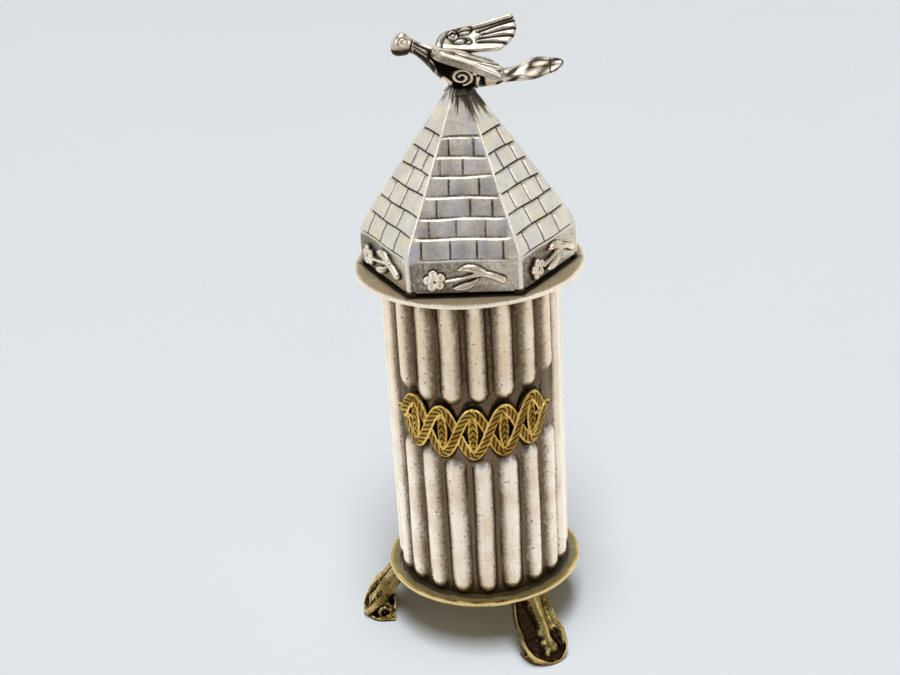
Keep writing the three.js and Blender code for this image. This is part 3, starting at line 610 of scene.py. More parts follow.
def flute_height(angle, z):
    """How far each place stands out of the valleys, from 0 to 1. Each flute's place, width,
    height and ends differ a little."""
    rng = np.random.default_rng(SEED)
    pitch = TURN / FLUTES
    shift = rng.normal(0, 0.1, FLUTES)
    width = FLUTE_HALF * (1 + rng.normal(0, 0.045, FLUTES))
    tall = 1 - np.abs(rng.normal(0, 0.03, FLUTES))
    lean = rng.uniform(0, TURN, FLUTES)
    ends = rng.normal(0, 0.25, (3, FLUTES))
    flute = np.round((angle - FLUTE_PHASE) / pitch).astype(int)
    centre = FLUTE_PHASE + flute * pitch
    k = flute % FLUTES
    wander = 0.09 * np.sin(z / 8 + lean[k]) + 0.05 * np.sin(z / 3.1 + 2 * lean[k])
    across = (angle - centre) * CREST_RADIUS - shift[k] - wander
    half = width[k]
    middle = (centre + math.pi) % TURN - math.pi
    banded = np.abs(middle) < BAND_HALF_ANGLE + 0.04
    line = BAND_MIDDLE + tube_rise(middle)
    reach = FLUTE_CLEARANCE + strand_reach(middle * BAND_OUTER, (-1.4, 0.0, 1.4))
    low = PLATE_TOP + FLUTE_FOOT + ends[0][k] * 0.5
    gap_low = np.where(banded, line - reach + ends[1][k] * 0.5, BEYOND_TUBE)
    gap_high = np.where(banded, line + reach + ends[2][k] * 0.5, -BEYOND_TUBE)

    def bar(start, end):
        beyond = largest(start + half - z, z - (end - half), 0)
        off = np.sqrt(across**2 + (beyond * 0.95) ** 2) / half
        return (1 - np.clip(off, 0, 1) ** 2) ** 0.85

    upper = bar(np.maximum(gap_high, low), BEYOND_TUBE)
    return np.where(z > (gap_low + gap_high) / 2, upper, bar(low, gap_low)) * tall[k]


def tube_darkness(angle, z, high):
    """Dark valleys with soft sides, of patina deepened to painted shade in the upper valleys, a painted
    shadow round the ornament and under the flange, painted shade near the plate, and a painted
    reflection that brightens the flutes at the left and right sides.
    """
    upper = smooth(36, 50, z)
    # Patina in the valleys, deepened in their middles to painted shade, most of all in the upper part
    dark = 0.9 * (1 - high ** (2.2 + 1.5 * upper)) + (0.12 + 0.38 * upper) * hump(high, 0.2)
    # Painted shadow round the ornament
    strands = strand_reach(angle * BAND_OUTER, (-0.5, 0, 0.5))
    shade_beside = smooth(2.3, 0.7, np.abs(z - tube_rise(angle) - BAND_MIDDLE) - strands)
    shade_beside = shade_beside * smooth(BAND_HALF_ANGLE + 0.02, BAND_HALF_ANGLE - 0.12, np.abs(angle))
    dark = np.maximum(dark, 1.8 * shade_beside * (1 - high))
    # Painted shade near the plate, and painted shadow under the flange
    dark = dark + 0.1 * smooth(8, 1, z) + 0.3 * smooth(59, FLANGE_BASE, z)
    # Painted reflection: the flutes at the left and right sides, seen from the front, are lighter, with
    # lighter valleys
    painted_side_sheen = smooth(1.0, 1.3, np.abs(angle)) * smooth(2.3, 1.8, np.abs(angle))
    return dark * (1 - 0.35 * painted_side_sheen) - 0.85 * painted_side_sheen * high


def fluted_tube():
    """The tube's wall, pressed flatter behind the ornament, and its smooth inside."""
    columns = 400
    angle = (np.arange(columns) + 0.5) * TURN / columns - math.pi
    z = np.concatenate([np.linspace(PLATE_TOP, 5, 20), np.linspace(5.6, 27, 18), np.linspace(27.5, 51, 84),
                        np.linspace(52, FLANGE_BASE, 10)])
    a, h = np.meshgrid(angle, z)
    high = flute_height(a, h)
    above = h - tube_rise(a)
    behind = 1 - smooth(BAND_HALF_ANGLE, BAND_HALF_ANGLE + 0.08, np.abs(a))
    behind = behind * smooth(BAND_LOW - 1.5, BAND_LOW + 0.3, above)
    behind = behind * (1 - smooth(BAND_HIGH - 0.3, BAND_HIGH + 1.4, above))
    valley = CREST_RADIUS - FLUTE_DEPTH
    outer = round_z(valley + FLUTE_DEPTH * high + FLUTE_PRESSED * behind * (1 - high), a, h)
    b, g = np.meshgrid(angle, TUBE_INNER_ROWS)
    inner = round_z(valley - TUBE_SHEET, b, g)
    points = np.concatenate([outer, inner])
    dark = np.concatenate([tube_darkness(a, h, high), 0.6 + 0 * b]).ravel()
    faces = grid(len(points), columns, True, True)
    piece("fluted_wall", (points, faces, dark), "box", SILVER, ["fluted_tube"])


# Openwork ornament: two strands that cross in a row of eyes, with a leaf across each eye

LEAF_HALF = 1.05
LEAF_SUNK = -0.12
STRAND_WEAVE = 0.14
HATCH_PITCH = 1.3
STROKE_BEVEL = 0.26


def ornament_strokes():
    """The middle lines of the two strands and of the leaves, and whether each is a leaf."""
    half, swing = ORNAMENT_HALF, STRAND_SWING
    x = np.linspace(-half, half, 161)
    strokes = []
    for side in (1, -1):
        y = side * swing * np.sin(math.pi * (x + half) / ORNAMENT_EYE)
        strokes.append((np.stack([x, y], 1), False))
    for i in range(EYES):
        middle = (i + 0.5) * ORNAMENT_EYE - half
        strokes.append((np.array([[middle, -swing], [middle, 0], [middle, swing]]), True))
    for side in (-1, 1):
        root = side * (half - 2 * STRAND_HALF)
        tip = side * (ORNAMENT_REACH - 0.15)
        strokes.append((np.array([[root, 0], [(root + tip) / 2, 0], [tip, 0]]), True))
    return strokes


def ornament():
    """The ornament's strokes, woven over and under each other and hatched, bent round the tube."""
    strokes = ornament_strokes()

    def measure(points):
        found = []
        for path, is_leaf in strokes:
            dist, along, across = to_path(points, path)
            half = STRAND_HALF
            if is_leaf:
                share = np.clip(along / np.linalg.norm(path[-1] - path[0]), 0.05, 0.97)
                half = LEAF_HALF * np.sin(math.pi * share) ** 0.8
            found.append((dist - half, along, across))
        return found

    def distance(points):
        return np.min([signed for signed, _, _ in measure(points)], 0)

    def form(points):
        weave = STRAND_WEAVE * np.cos(math.pi * (points[:, 0] + ORNAMENT_HALF) / ORNAMENT_EYE)
        best = np.full(len(points), -9.0)
        dark = np.zeros(len(points))
        for index, (signed, along, across) in enumerate(measure(points)):
            is_leaf = index > 1
            lift = LEAF_SUNK if is_leaf else weave * (1 - 2 * index)
            height = lift + 0.3 * (np.clip(-signed / STROKE_BEVEL, 0, 1) - 1)
            bend = along + 1.3 * np.abs(across) if is_leaf else along + 1.2 * across
            inner = smooth(0.2, 0.34, -signed)
            line = smooth(0.45, 0.95, np.cos(TURN * bend / HATCH_PITCH + index)) * inner
            height = np.where(signed < 0.05, height - 0.12 * line - 0.05 * inner, -9.0)
            above = height > best
            best = np.where(above, height, best)
            # The strokes' flat insides are darker, with the hatching, and their bevelled edges are painted
            # bright as highlights
            dark = np.where(above, 0.6 * line + 0.95 * inner - 0.4, dark)
        best = np.where(best < -1, -0.28, best)
        angle = points[:, 0] / BAND_OUTER
        z = BAND_MIDDLE + points[:, 1] + band_rise(angle)
        return round_z(BAND_OUTER - 0.12 + best, angle, z), round_z(BAND_INNER, angle, z), dark

    corner = np.array([ORNAMENT_REACH + 0.4, BAND_HEIGHT / 2 + 0.3])
    shape = relief(-corner, corner, 0.13, distance, form)
    piece("gilt_openwork", shape, "box", GILT, ["ornament_band"])


# Roof

ROOF_LENGTH = math.hypot((EAVE_CORNER - TOP_CORNER) * FACE_SHARE, ROOF_TOP - EAVE)
UP_IN = (EAVE_CORNER - TOP_CORNER) * FACE_SHARE / ROOF_LENGTH
UP_RISE = (ROOF_TOP - EAVE) / ROOF_LENGTH
ROOF_WALL = 0.8
EAVE_ROUND = 2.4
RIDGE_ROUND = 0.55
BAND_RIDGE_ROUND = 1.2
RIDGE_MARGIN = 0.14
RIDGE_ARC = np.linspace(0, math.pi / 6, 4)
COURSE_LINES = [-0.25, 3.92, 7.64, 11.56, 15.38, 18.98, 22.75]
ROOF_LINES = [ROOF_EDGE - EAVE] + COURSE_LINES + [ROOF_LENGTH]
COURSE_DEPTH = 0.26
COURSE_SLOPE = 0.56
COURSE_SWELL = 0.05
COURSE_WALL = 0.14
JOINT_DEPTH = 0.13
JOINT_FORM = [(-0.32, 0.0), (-0.16, 0.9), (0.0, 1.0), (0.16, 0.9), (0.32, 0.0)]
FACE_BOW = 0.3
BRICK = 5.1
FRONT_JOINTS = [(-7.64, -2.33, 2.55, 7.32), (-6.05, -1.17, 4.14), (-4.67, 1.48, 5.52), (-2.39, 3.18),
                (-4.0, 0.27), (-2.23, 2.33)]
# How dark the course lines and the joints are, and how deep the joints are cut
FRONT_MARKS = (0.65, 0.78, 0.45)
SIDE_MARKS = (0.76, 0.74, 1.0)
TOE = 0.7


def roof_section(w):
    """Distance out from the axis, height, and the outward direction, at w up the roof's face."""
    w = np.asarray(w, float)
    apothem = EAVE_CORNER * FACE_SHARE
    t = np.clip((w + EAVE_ROUND) / (2 * EAVE_ROUND), 0, 1)
    bend_out = apothem - t**2 * EAVE_ROUND * UP_IN
    bend_z = EAVE - (1 - t) ** 2 * EAVE_ROUND + t**2 * EAVE_ROUND * UP_RISE
    above = w > EAVE_ROUND
    below = w < -EAVE_ROUND
    out = np.where(above, apothem - w * UP_IN, np.where(below, apothem, bend_out))
    z = np.where(above, EAVE + w * UP_RISE, np.where(below, EAVE + w, bend_z))
    turn = t * math.atan2(UP_IN, UP_RISE)
    return out, z, np.cos(turn), np.sin(turn)


def on_face(face, s, w, depth):
    """Points of one roof face: s to the right seen from outside, w up it, and depth inwards."""
    out, z, normal_out, normal_up = roof_section(w)
    place = np.broadcast_arrays(s, depth * normal_out - out, z - depth * normal_up)
    return turned(np.stack(place, -1), face * math.pi / 3)


def half_side(w):
    """Half the width of a roof face at w up it."""
    return float(roof_section(w)[0]) / FACE_SHARE / 2


def joints_of(face, row, rng):
    """Places of the upright joints in one course of bricks, staggered from course to course."""
    if face == 0:
        return FRONT_JOINTS[row]
    half = half_side(COURSE_LINES[row + 1]) - 0.9
    start = -half + (0.35 if (row + face) % 2 else 0.85) * BRICK * rng.uniform(0.85, 1.1)
    joints = []
    while start < half - 0.4:
        joints.append(start)
        start += BRICK * rng.uniform(0.82, 1.12)
    return joints


def strip_rows(strip, face):
    """Rows up one strip of a face, how deep each is cut and how dark it is. The line at a strip's
    foot is an upright step, and the one at its head is a slope down to the next."""
    bottom, top = ROOF_LINES[strip:strip + 2]
    rows = np.concatenate([
        [bottom, bottom + COURSE_WALL, bottom + 2 * COURSE_WALL, bottom + 0.5],
        np.arange(bottom + 0.9, top - 0.7, 0.7),
        [top - COURSE_SLOPE - 0.1, top - COURSE_SLOPE, top - COURSE_SLOPE / 2, top - 0.1, top],
    ])
    has_foot = strip > 0
    has_head = strip < len(ROOF_LINES) - 2
    dig_low = has_foot * np.clip(1 - (rows - bottom) / COURSE_WALL, 0, 1)
    dig_high = has_head * np.clip(1 - (top - rows) / COURSE_SLOPE, 0, 1)
    dark_low = has_foot * np.clip(2 - (rows - bottom) / COURSE_WALL, 0, 1)
    dark_high = has_head * np.clip(1.4 - (top - rows) / 0.28, 0, 1) * (face != 0)
    return rows, COURSE_DEPTH * largest(dig_low, dig_high), largest(dark_low, dark_high)


def row_columns(w, marks):
    """Across a face at w up it: the columns' places, how deep a joint is there, the fall to the
    rounded ridges at both ends, and a share that is one between the ridges and zero on them."""
    ridge = RIDGE_ROUND + (BAND_RIDGE_ROUND - RIDGE_ROUND) * float(smooth(1.5, -3.5, w))
    flat = half_side(w) - ridge * math.tan(math.pi / 6)
    clean = flat - RIDGE_MARGIN
    share = np.clip(np.array([s for s, _ in marks]) / clean, -0.999, 0.999)
    s_arc = flat + ridge * np.sin(RIDGE_ARC)
    fall = ridge * (1 - np.cos(RIDGE_ARC))
    none = 0 * RIDGE_ARC
    joint = np.array([deep for _, deep in marks]) * (np.abs(share) < 0.99)
    s = np.concatenate([-s_arc[::-1], share * clean, s_arc])
    joint = np.concatenate([none, joint, none])
    fall = np.concatenate([fall[::-1], 0 * share, fall])
    return s, joint, fall, np.concatenate([none, 1 + 0 * share, none])


def front_brick_shade(strip, s, t):
    """Darkness of the front face's bricks, at a share t of the way up a course: painted shade, darker than
    on the other faces, darker towards each course's foot, and uneven.
    """
    foot = 0.62 * (1 - t) ** 1.5 * (0.85 + 0.15 * np.sin(0.9 * s + 2 * strip))
    return np.maximum(foot, 0.47 + 0.09 * np.sin(1.3 * s + 2 * strip) - 0.08 * t)


def roof_strip(face, strip, joints, tilt, phase):
    """A course of bricks on one face, or the band below them, or the blank part above them."""
    bottom, top = ROOF_LINES[strip:strip + 2]
    is_band = strip == 0
    is_blank = strip == len(ROOF_LINES) - 2
    line_dark, joint_dark, joint_cut = SIDE_MARKS if face else FRONT_MARKS
    # Columns lie over each joint's groove, and at even places between
    marks = [(s + off, JOINT_DEPTH * deep) for s in joints for off, deep in JOINT_FORM]
    marks = sorted(marks + [(s, 0.0) for s in np.linspace(-8, 8, 9)])
    points, dark = [], []

    def waver(line, s):
        return 0.1 * np.sin(0.5 * s + phase[line]) + tilt[line] * s

    for w, dig, seam in zip(*strip_rows(strip, face)):
        s, joint, fall, open_face = row_columns(w, marks)
        t = (w - bottom) / (top - bottom)
        clear = smooth(0.25, 0.6, w - bottom) * smooth(0.2, 0.5, top - w)
        cut = np.maximum(dig * open_face, joint_cut * joint * np.maximum(clear, 0.4))
        bow = FACE_BOW * max(w - 9, 0) ** 2 / 400
        swell = 0 if is_band or is_blank else COURSE_SWELL * math.sin(math.pi * t)
        depth = fall + bow * open_face + cut - swell * open_face
        lower = 0 if is_band else waver(strip, s)
        upper = 0 if is_blank else waver(strip + 1, s)
        points.append(on_face(face, s, w + (1 - t) * lower + t * upper, depth))
        stain = np.maximum(line_dark * seam * open_face, joint_dark * joint / JOINT_DEPTH)
        if is_band:
            # The band's ground: dark patina, clear on the ridges, with painted shade that makes each face
            # darker towards its left
            ground = (0.66 - 0.14 * smooth(-2, 7, s)) * smooth(0.15, 0.6, half_side(w) - np.abs(s))
            stain = np.maximum(stain, ground * smooth(-0.2, 0.8, top - w))
        elif face == 0:
            stain = stain * smooth(0.3, 0.75, top - w)
            # The front face's bricks take painted shade
            stain = np.maximum(stain, front_brick_shade(strip, s, t) * open_face * (not is_blank))
        dark.append(stain)
    return np.array(points), grid(len(points), len(points[0])), np.array(dark)


def roof_shell():
    """The roof's six faces with their courses of bricks, its inside and its toes."""
    rng = np.random.default_rng(SEED + 1)
    lines = len(ROOF_LINES)
    parts = []
    for face in range(6):
        tilt = rng.normal(0, 0.008, lines)
        phase = rng.uniform(0, TURN, lines)
        for strip in range(lines - 1):
            joints = [] if strip in (0, lines - 2) else joints_of(face, strip - 1, rng)
            parts.append(roof_strip(face, strip, joints, tilt, phase))
    parts += roof_inside() + roof_toes()
    piece("roof_skin", merged(parts), "lid", ROOF_SILVER, ["roof_shell"])


def roof_inside():
    """The roof's inner walls, its lower edge and its flat top."""
    parts = []
    rows = [ROOF_EDGE - EAVE, 0.0, ROOF_LENGTH - 1]
    s = np.linspace(-1, 1, 5)
    for face in range(6):
        points = [on_face(face, s * (half_side(rows[0]) - 0.06), rows[0], 0.0)]
        for w in rows:
            side = (float(roof_section(w)[0]) - ROOF_WALL) / FACE_SHARE / 2
            points.append(on_face(face, s * side, w, ROOF_WALL))
        parts.append((points, grid(len(points), len(s)), 0.7))
    ring = round_z(TOP_CORNER - 0.1, around(6) + math.pi / 2, ROOF_TOP - 0.02)
    parts.append((ring, [list(range(6))], 1.0))
    return parts


def roof_toes():
    """The low toe under each corner of the roof, on which it stands, painted dark as shadow under the
    roof's edge.
    """
    arc = np.linspace(-math.pi / 6, math.pi / 6, 7)
    centre = EAVE_CORNER - BAND_RIDGE_ROUND / FACE_SHARE
    outline = np.stack([centre + BAND_RIDGE_ROUND * np.cos(arc), BAND_RIDGE_ROUND * np.sin(arc)], 1)
    reach = np.array([-math.sin(math.pi / 6), -math.cos(math.pi / 6)]) * TOE
    outline = np.concatenate([[outline[0] + reach], outline, [outline[-1] + reach * [1, -1]]])
    back = outline * [1, 0.7] - [ROOF_WALL / FACE_SHARE, 0]
    ring = np.concatenate([outline, back[::-1]])
    count = len(ring)
    levels = [FLANGE_TOP + 0.01, FLANGE_TOP + 0.12, ROOF_EDGE + 0.3]
    points = np.array([np.column_stack([ring, np.full(count, z)]) for z in levels])
    faces = grid(len(levels), count, False, True).tolist() + [list(range(count))]
    dark = np.repeat([1.6, 1.3, 0.9], count)
    return [(turned(points, corner * math.pi / 3), faces, dark) for corner in range(6)]


# Flower sprigs on the roof's band: each stroke's points are (place along, height, half width)

SPRIG_STEM = [(-3.3, 69.95, 0.42), (-1.2, 70.3, 0.42), (0.9, 70.75, 0.46), (2.8, 71.2, 0.58),
              (4.6, 71.0, 0.7), (6.1, 70.4, 0.78), (7.0, 69.95, 0.86)]
SPRIG_LEAVES = [
    [(4.3, 71.3, 0.35), (2.9, 72.0, 0.72), (1.4, 72.4, 0.82), (0.0, 72.4, 0.6), (-1.15, 72.15, 0.14)],
    [(2.7, 70.3, 0.3), (1.4, 69.35, 0.72), (0.1, 68.85, 0.88), (-1.1, 68.65, 0.62),
     (-2.15, 68.65, 0.14)],
]
FLOWER_CENTRE = (-5.41, 70.05)
PETAL_OFFSET = 1.28
PETAL_RADIUS = 1.0
PETALS = 5
BOSS_RADIUS = 0.62
SPRIG_GROUND = 0.1
SPRIG_RELIEF = 1.28


def petal_centres():
    angle = TURN * (np.arange(PETALS) + 0.15) / PETALS + math.pi / 2
    return FLOWER_CENTRE + PETAL_OFFSET * np.stack([np.cos(angle), np.sin(angle)], 1)


def stroke_distance(points, stroke):
    """Distance from a stroke's outline, below zero inside it, and from its middle line."""
    best = np.full(len(points), 9.0)
    middle = np.full(len(points), 9.0)
    for a, b in zip(stroke[:-1], stroke[1:]):
        step = b[:2] - a[:2]
        t = np.clip((points - a[:2]) @ step / (step @ step), 0, 1)
        dist = np.linalg.norm(points - a[:2] - t[:, None] * step, axis=1)
        signed = dist - (a[2] + t * (b[2] - a[2]))
        middle = np.where(signed < best, dist, middle)
        best = np.minimum(best, signed)
    return best, middle


def sprig_layers(points, strokes, petals):
    """The stem, leaves, petals and boss as (height, darkness, where it lies)."""
    for index, stroke in enumerate(strokes):
        signed, middle = stroke_distance(points, stroke)
        share = np.clip(-signed / 0.6, 0, 1)
        vein = hump(middle, 0.13) * smooth(0.25, 0.5, -signed) * (index > 0)
        yield 0.95 * dome(share) - 0.22 * vein, 0.6 * (1 - share) ** 2 + 0.55 * vein, signed < 0
    for petal in petals:
        off = np.hypot(*(points - petal).T) / PETAL_RADIUS
        rise = np.sqrt(np.clip(1 - off**2, 0, 1)) - 0.42 * hump(off, 0.42)
        yield rise, largest(0.8 * smooth(0.6, 1.0, off), 0.6 * hump(off, 0.3)), off < 1
    off = np.hypot(*(points - FLOWER_CENTRE).T)
    boss = 0.85 * np.sqrt(np.clip(1 - (off / BOSS_RADIUS) ** 2, 0, 1))
    yield boss, 0.7 * smooth(0.3, BOSS_RADIUS, off), off < BOSS_RADIUS


def sprig():
    """A stem with two veined leaves and a flower, standing on the front face of the band."""
    strokes = [spread(points, 5) for points in [SPRIG_STEM] + SPRIG_LEAVES]
    petals = petal_centres()
    wall = EAVE_CORNER * FACE_SHARE

    def distance(points):
        parts = [stroke_distance(points, stroke)[0] for stroke in strokes]
        parts += [np.hypot(*(points - petal).T) - PETAL_RADIUS for petal in petals]
        return np.min(parts, 0)

    def form(points):
        height = np.full(len(points), SPRIG_GROUND)
        dark = np.full(len(points), 0.9)
        for rise, stain, inside in sprig_layers(points, strokes, petals):
            above = (rise > height - SPRIG_GROUND) & inside
            height = np.where(above, rise + SPRIG_GROUND, height)
            dark = np.where(above, stain, dark)
        height = np.minimum(height, SPRIG_RELIEF)
        front = np.stack([points[:, 0], -wall - height, points[:, 1]], 1)
        back = np.stack([points[:, 0], 0.1 - wall + 0 * height, points[:, 1]], 1)
        return front, back, dark

    return relief((-7.8, 67.7), (8.2, 73.4), 0.13, distance, form)


def flower_sprigs():
    """The same sprig on each face of the roof's band."""
    points, faces, dark = sprig()
    for face in range(6):
        shape = (turned(points, face * math.pi / 3), faces, dark)
        node = f"flower_sprig_{face + 1}"
        piece(f"sprig_relief_{face + 1}", shape, "lid", CAST_SILVER, [node])


# Feet

FOOT_ROOT = 16.4
FOOT_LENGTH = 9.8
FOOT_HALF = 5.1
FOOT_HEIGHT = -FLOOR
FOOT_TURN = math.radians(4)
FOOT_SHEET = 1.3
FOOT_HEEL = 3.0
SOLE_HALF = FOOT_HALF * 0.86
# The leaf's middle line as shares of the foot's length, height and half width
LEAF_LINE = [(0, 0.06, 0.74), (0.19, -0.17, 0.79), (0.38, -0.37, 0.88), (0.56, -0.54, 0.97),
             (0.73, -0.69, 1.0), (0.86, -0.81, 0.88), (0.95, -0.9, 0.58), (1.0, -0.97, 0.22)]
# The sole's outline as shares of its length and half width
SOLE_LINE = [(0, 1), (0.42, 1), (0.68, 0.86), (0.86, 0.56), (0.96, 0.26)]
# The sole's outline at each height over the floor, as a share, and its darkness
SOLE_LEVELS = [(1.0, 0, 0.9), (1.0, 0.5, 0.45), (0.93, 0.76, 0.3), (0.8, 0.82, 0.9)]
# Painted glints on the tongue's flank: distance from the toe, and length
PAINTED_GLINTS = [(6.8, 0.6), (4.9, 0.35), (2.6, 0.4)]
CURL_SIDES = 10


def leaf_cast(v, half, down, to_toe):
    """Height and darkness of the leaf's relief, at v from -1 to 1 across it."""
    left = smooth(-0.15, 0.15, v)
    edge = np.minimum((1 - np.abs(v)) * half, to_toe + 0.1)
    side = np.abs(v) * half
    toe = smooth(7.2, 5.0, to_toe)
    filled = left * (1 - toe)
    # Tongue: broad where it leaves the plate, narrow half way, and a knob at its end
    knob = hump(to_toe - 3.3, 1.1)
    tongue_half = 2.0 - 0.75 * smooth(0.1, 0.5, down) + 0.55 * knob
    share = np.clip(side / (1.5 * tongue_half), 0, 1)
    tongue = smooth(1.9, 2.9, to_toe) * (0.5 + 0.5 * np.cos(math.pi * share)) * (1 + 0.2 * knob)
    # Rims along the edges, the deeper flanks between them and the tongue, and bumps on one side
    upper_rim = (1 - toe) * (0.5 - 0.2 * left) * hump(edge, 0.5 - 0.15 * left)
    rim = toe * hump(edge, 0.55) + upper_rim
    flank = smooth(0.3, 1.3, edge) * (1 - tongue / 1.2)
    from_root = to_toe[0] - to_toe
    bumps = filled * hump(edge - 0.4, 0.4) * (0.5 + 0.5 * np.sin(3.3 * from_root))
    height = 1.2 * tongue + 0.95 * rim - (0.25 + 0.6 * toe - 0.2 * filled) * flank + 0.22 * bumps
    dark = 0.32 + 0.85 * (1 - 0.65 * filled) * flank * smooth(0.95, 0.35, tongue)
    # Along the toe: a dark line inside the rim, and the rim painted bright as a highlight
    dark = np.maximum(dark, 0.8 * toe * hump(edge - 0.62, 0.14)) - 0.5 * toe * hump(edge, 0.5)
    dark = dark + 0.3 * knob * tongue + 0.15 * upper_rim
    dark = np.maximum(dark, 0.8 * filled * hump(edge - 1.0, 0.25))
    # Painted glints on the tongue's flank
    for place, width in PAINTED_GLINTS:
        dark = dark - 1.3 * (v < 0) * hump(side - 1.25, 0.3) * hump(to_toe - place, width)
    return height, dark


def foot_leaf():
    """The leaf that runs from under the plate down to the toe."""
    scale = [FOOT_LENGTH, FOOT_HEIGHT, FOOT_HALF]
    line = spread(np.array(LEAF_LINE) * scale + [FOOT_ROOT, 0, 0], 8)
    line = np.concatenate([line, [[line[-1][0], line[-1][1] - 0.1, 0.9]]])
    along = np.gradient(line[:, :2], axis=0)
    along_x, along_z = (along / np.linalg.norm(along, axis=1)[:, None]).T[:, :, None]
    line_x, line_z, line_half = line.T[:, :, None]
    length = np.concatenate([[0], np.cumsum(np.linalg.norm(np.diff(line[:, :2], axis=0), axis=1))])[:, None]
    down = length / length[-1]
    v = np.sin(np.linspace(-1, 1, 61) * math.pi / 2)[None, :]
    # The leaf steps out where the toe's rim begins, and is narrower on one side
    half = line_half * (1 - 0.07 * hump(down - 0.5, 0.09))
    half = half * (1 - 0.22 * np.sign(v) * hump(down - 0.38, 0.3))
    half = half * (1 - 0.2 * smooth(-0.15, 0.15, v) * smooth(0.5, 0.75, down))
    height, dark = leaf_cast(v, half, down, length[-1] - length)
    lean = 1 - 0.8 * smooth(0.45, 0.8, down)
    sheets = []
    for up, wide, lowest in ((height, 1, 0.25), (-FOOT_SHEET, 0.97, 0.05)):
        x = np.minimum(line_x - along_z * up * lean, FOOT_ROOT + FOOT_LENGTH)
        z = np.clip(line_z + along_x * up, FLOOR + lowest, -0.02)
        sheets.append(np.stack(np.broadcast_arrays(x, v * half * wide, z), -1))
    top, under = sheets
    ring = np.concatenate([top, under[:, ::-1]], 1)
    dark = np.concatenate([dark + 0 * v, 0.6 + 0 * v * half], 1)
    return ring, capped(*ring.shape[:2]), dark


def foot_sole():
    """The flat under the toe, with a rounded upper edge."""
    length = FOOT_LENGTH - FOOT_HEEL - 0.25
    heel = FOOT_ROOT + FOOT_HEEL
    curve = spread(np.array(SOLE_LINE) * [length, SOLE_HALF] + [heel, 0], 5)
    outline = np.concatenate([curve, [[heel + length, 0]], curve[::-1] * [1, -1]])
    middle = np.array([heel + length / 2, 0])
    count = len(outline)
    rows = [np.column_stack([middle + (outline - middle) * share, np.full(count, FLOOR + z)])
            for share, z, _ in SOLE_LEVELS]
    return rows, capped(len(rows), count), np.repeat([dark for _, _, dark in SOLE_LEVELS], count)


def foot_curl(side):
    """A scroll on the side of the foot, with an open middle."""
    turns = np.linspace(0, 1.25 * TURN, 44)
    radius = 1.45 - 0.075 * turns
    thick = 0.64 - 0.03 * turns
    x = FOOT_ROOT + 4.9 - radius * np.cos(turns)
    z = FLOOR + 2.15 - radius * np.sin(turns)
    y = side * (SOLE_HALF - 0.8)
    rows = []
    for a in around(CURL_SIDES):
        out = thick * np.cos(a)
        z_out = np.maximum(z - out * np.sin(turns), FLOOR + 0.03)
        rows.append(np.stack(np.broadcast_arrays(x - out * np.cos(turns), y + 0.9 * np.sin(a), z_out), 1))
    first = [i * len(turns) for i in range(CURL_SIDES)]
    faces = grid(CURL_SIDES, len(turns), True, False).tolist()
    faces += [first, [i + len(turns) - 1 for i in first]]
    dark = np.repeat(0.5 + 0.7 * np.clip(-np.cos(around(CURL_SIDES)), 0, 1), len(turns))
    return rows, faces, dark


def feet():
    """Three feet from one pattern: a leaf, the sole under its toe, and a curl on each side."""
    points, faces, dark = merged([foot_leaf(), foot_sole(), foot_curl(-1), foot_curl(1)])
    for i, name in enumerate(["foot_left", "foot_front_right", "foot_back_right"]):
        shape = (turned(points, math.pi + FOOT_TURN + i * TURN / 3), faces, dark)
        piece(f"{name}_cast", shape, "box", AGED_GILT, [name])


# Bird

BIRD_LENGTH = 31.5
BIRD_HEAD_REACH = 12.4
BIRD_HEIGHT = 10.9
BIRD_WIDTH = 6.0
BIRD_BANK = math.radians(21)
# The body from the beak to the tail's tip, as shares: along, up, half height and half width
BODY_ROWS = [
    (0, 0.742, 0.05, 0.16), (0.012, 0.752, 0.12, 0.4), (0.034, 0.775, 0.178, 0.6),
    (0.064, 0.795, 0.198, 0.68), (0.094, 0.79, 0.18, 0.62), (0.117, 0.77, 0.138, 0.48),
    (0.146, 0.725, 0.133, 0.48), (0.187, 0.642, 0.16, 0.57), (0.235, 0.541, 0.22, 0.74),
    (0.289, 0.44, 0.275, 0.9), (0.362, 0.358, 0.321, 1), (0.441, 0.312, 0.312, 1),
    (0.521, 0.262, 0.252, 0.9), (0.6, 0.215, 0.188, 0.74), (0.663, 0.193, 0.124, 0.56),
    (0.727, 0.22, 0.092, 0.7), (0.79, 0.27, 0.08, 0.96), (0.845, 0.302, 0.072, 1.04),
    (0.893, 0.32, 0.06, 0.92), (0.923, 0.331, 0.05, 0.74), (0.953, 0.345, 0.046, 0.64),
    (0.984, 0.366, 0.034, 0.4), (1, 0.38, 0.018, 0.14),
]
SPIRAL_CENTRE = (0.5, 103.65)
SPIRAL_WIDE = 1.25
SPIRAL_TURNS = 1.75
SPIRAL_START = 0.3
SPIRAL_STEP = 0.8
MOUTH_HEIGHT = 108.5
EYE_CENTRE = (-9.9, 110.1)
# Bright strokes on the flank: the two ends (x, z) and the half width
FLANK_STROKES = [((3.0, 104.5), (3.05, 104.2), 0.42), ((3.5, 103.4), (3.2, 101.4), 0.36),
                 ((-5.0, 106.4), (-4.4, 104.8), 0.55), ((-2.8, 103.2), (-1.9, 102.3), 0.72)]
VENT_MARK = ((7.0, 101.9), (7.6, 102.3), 0.3)
SPIGOT = [(0.01, 98.9), (0.8, 98.9), (0.8, 102), (0.01, 102)]


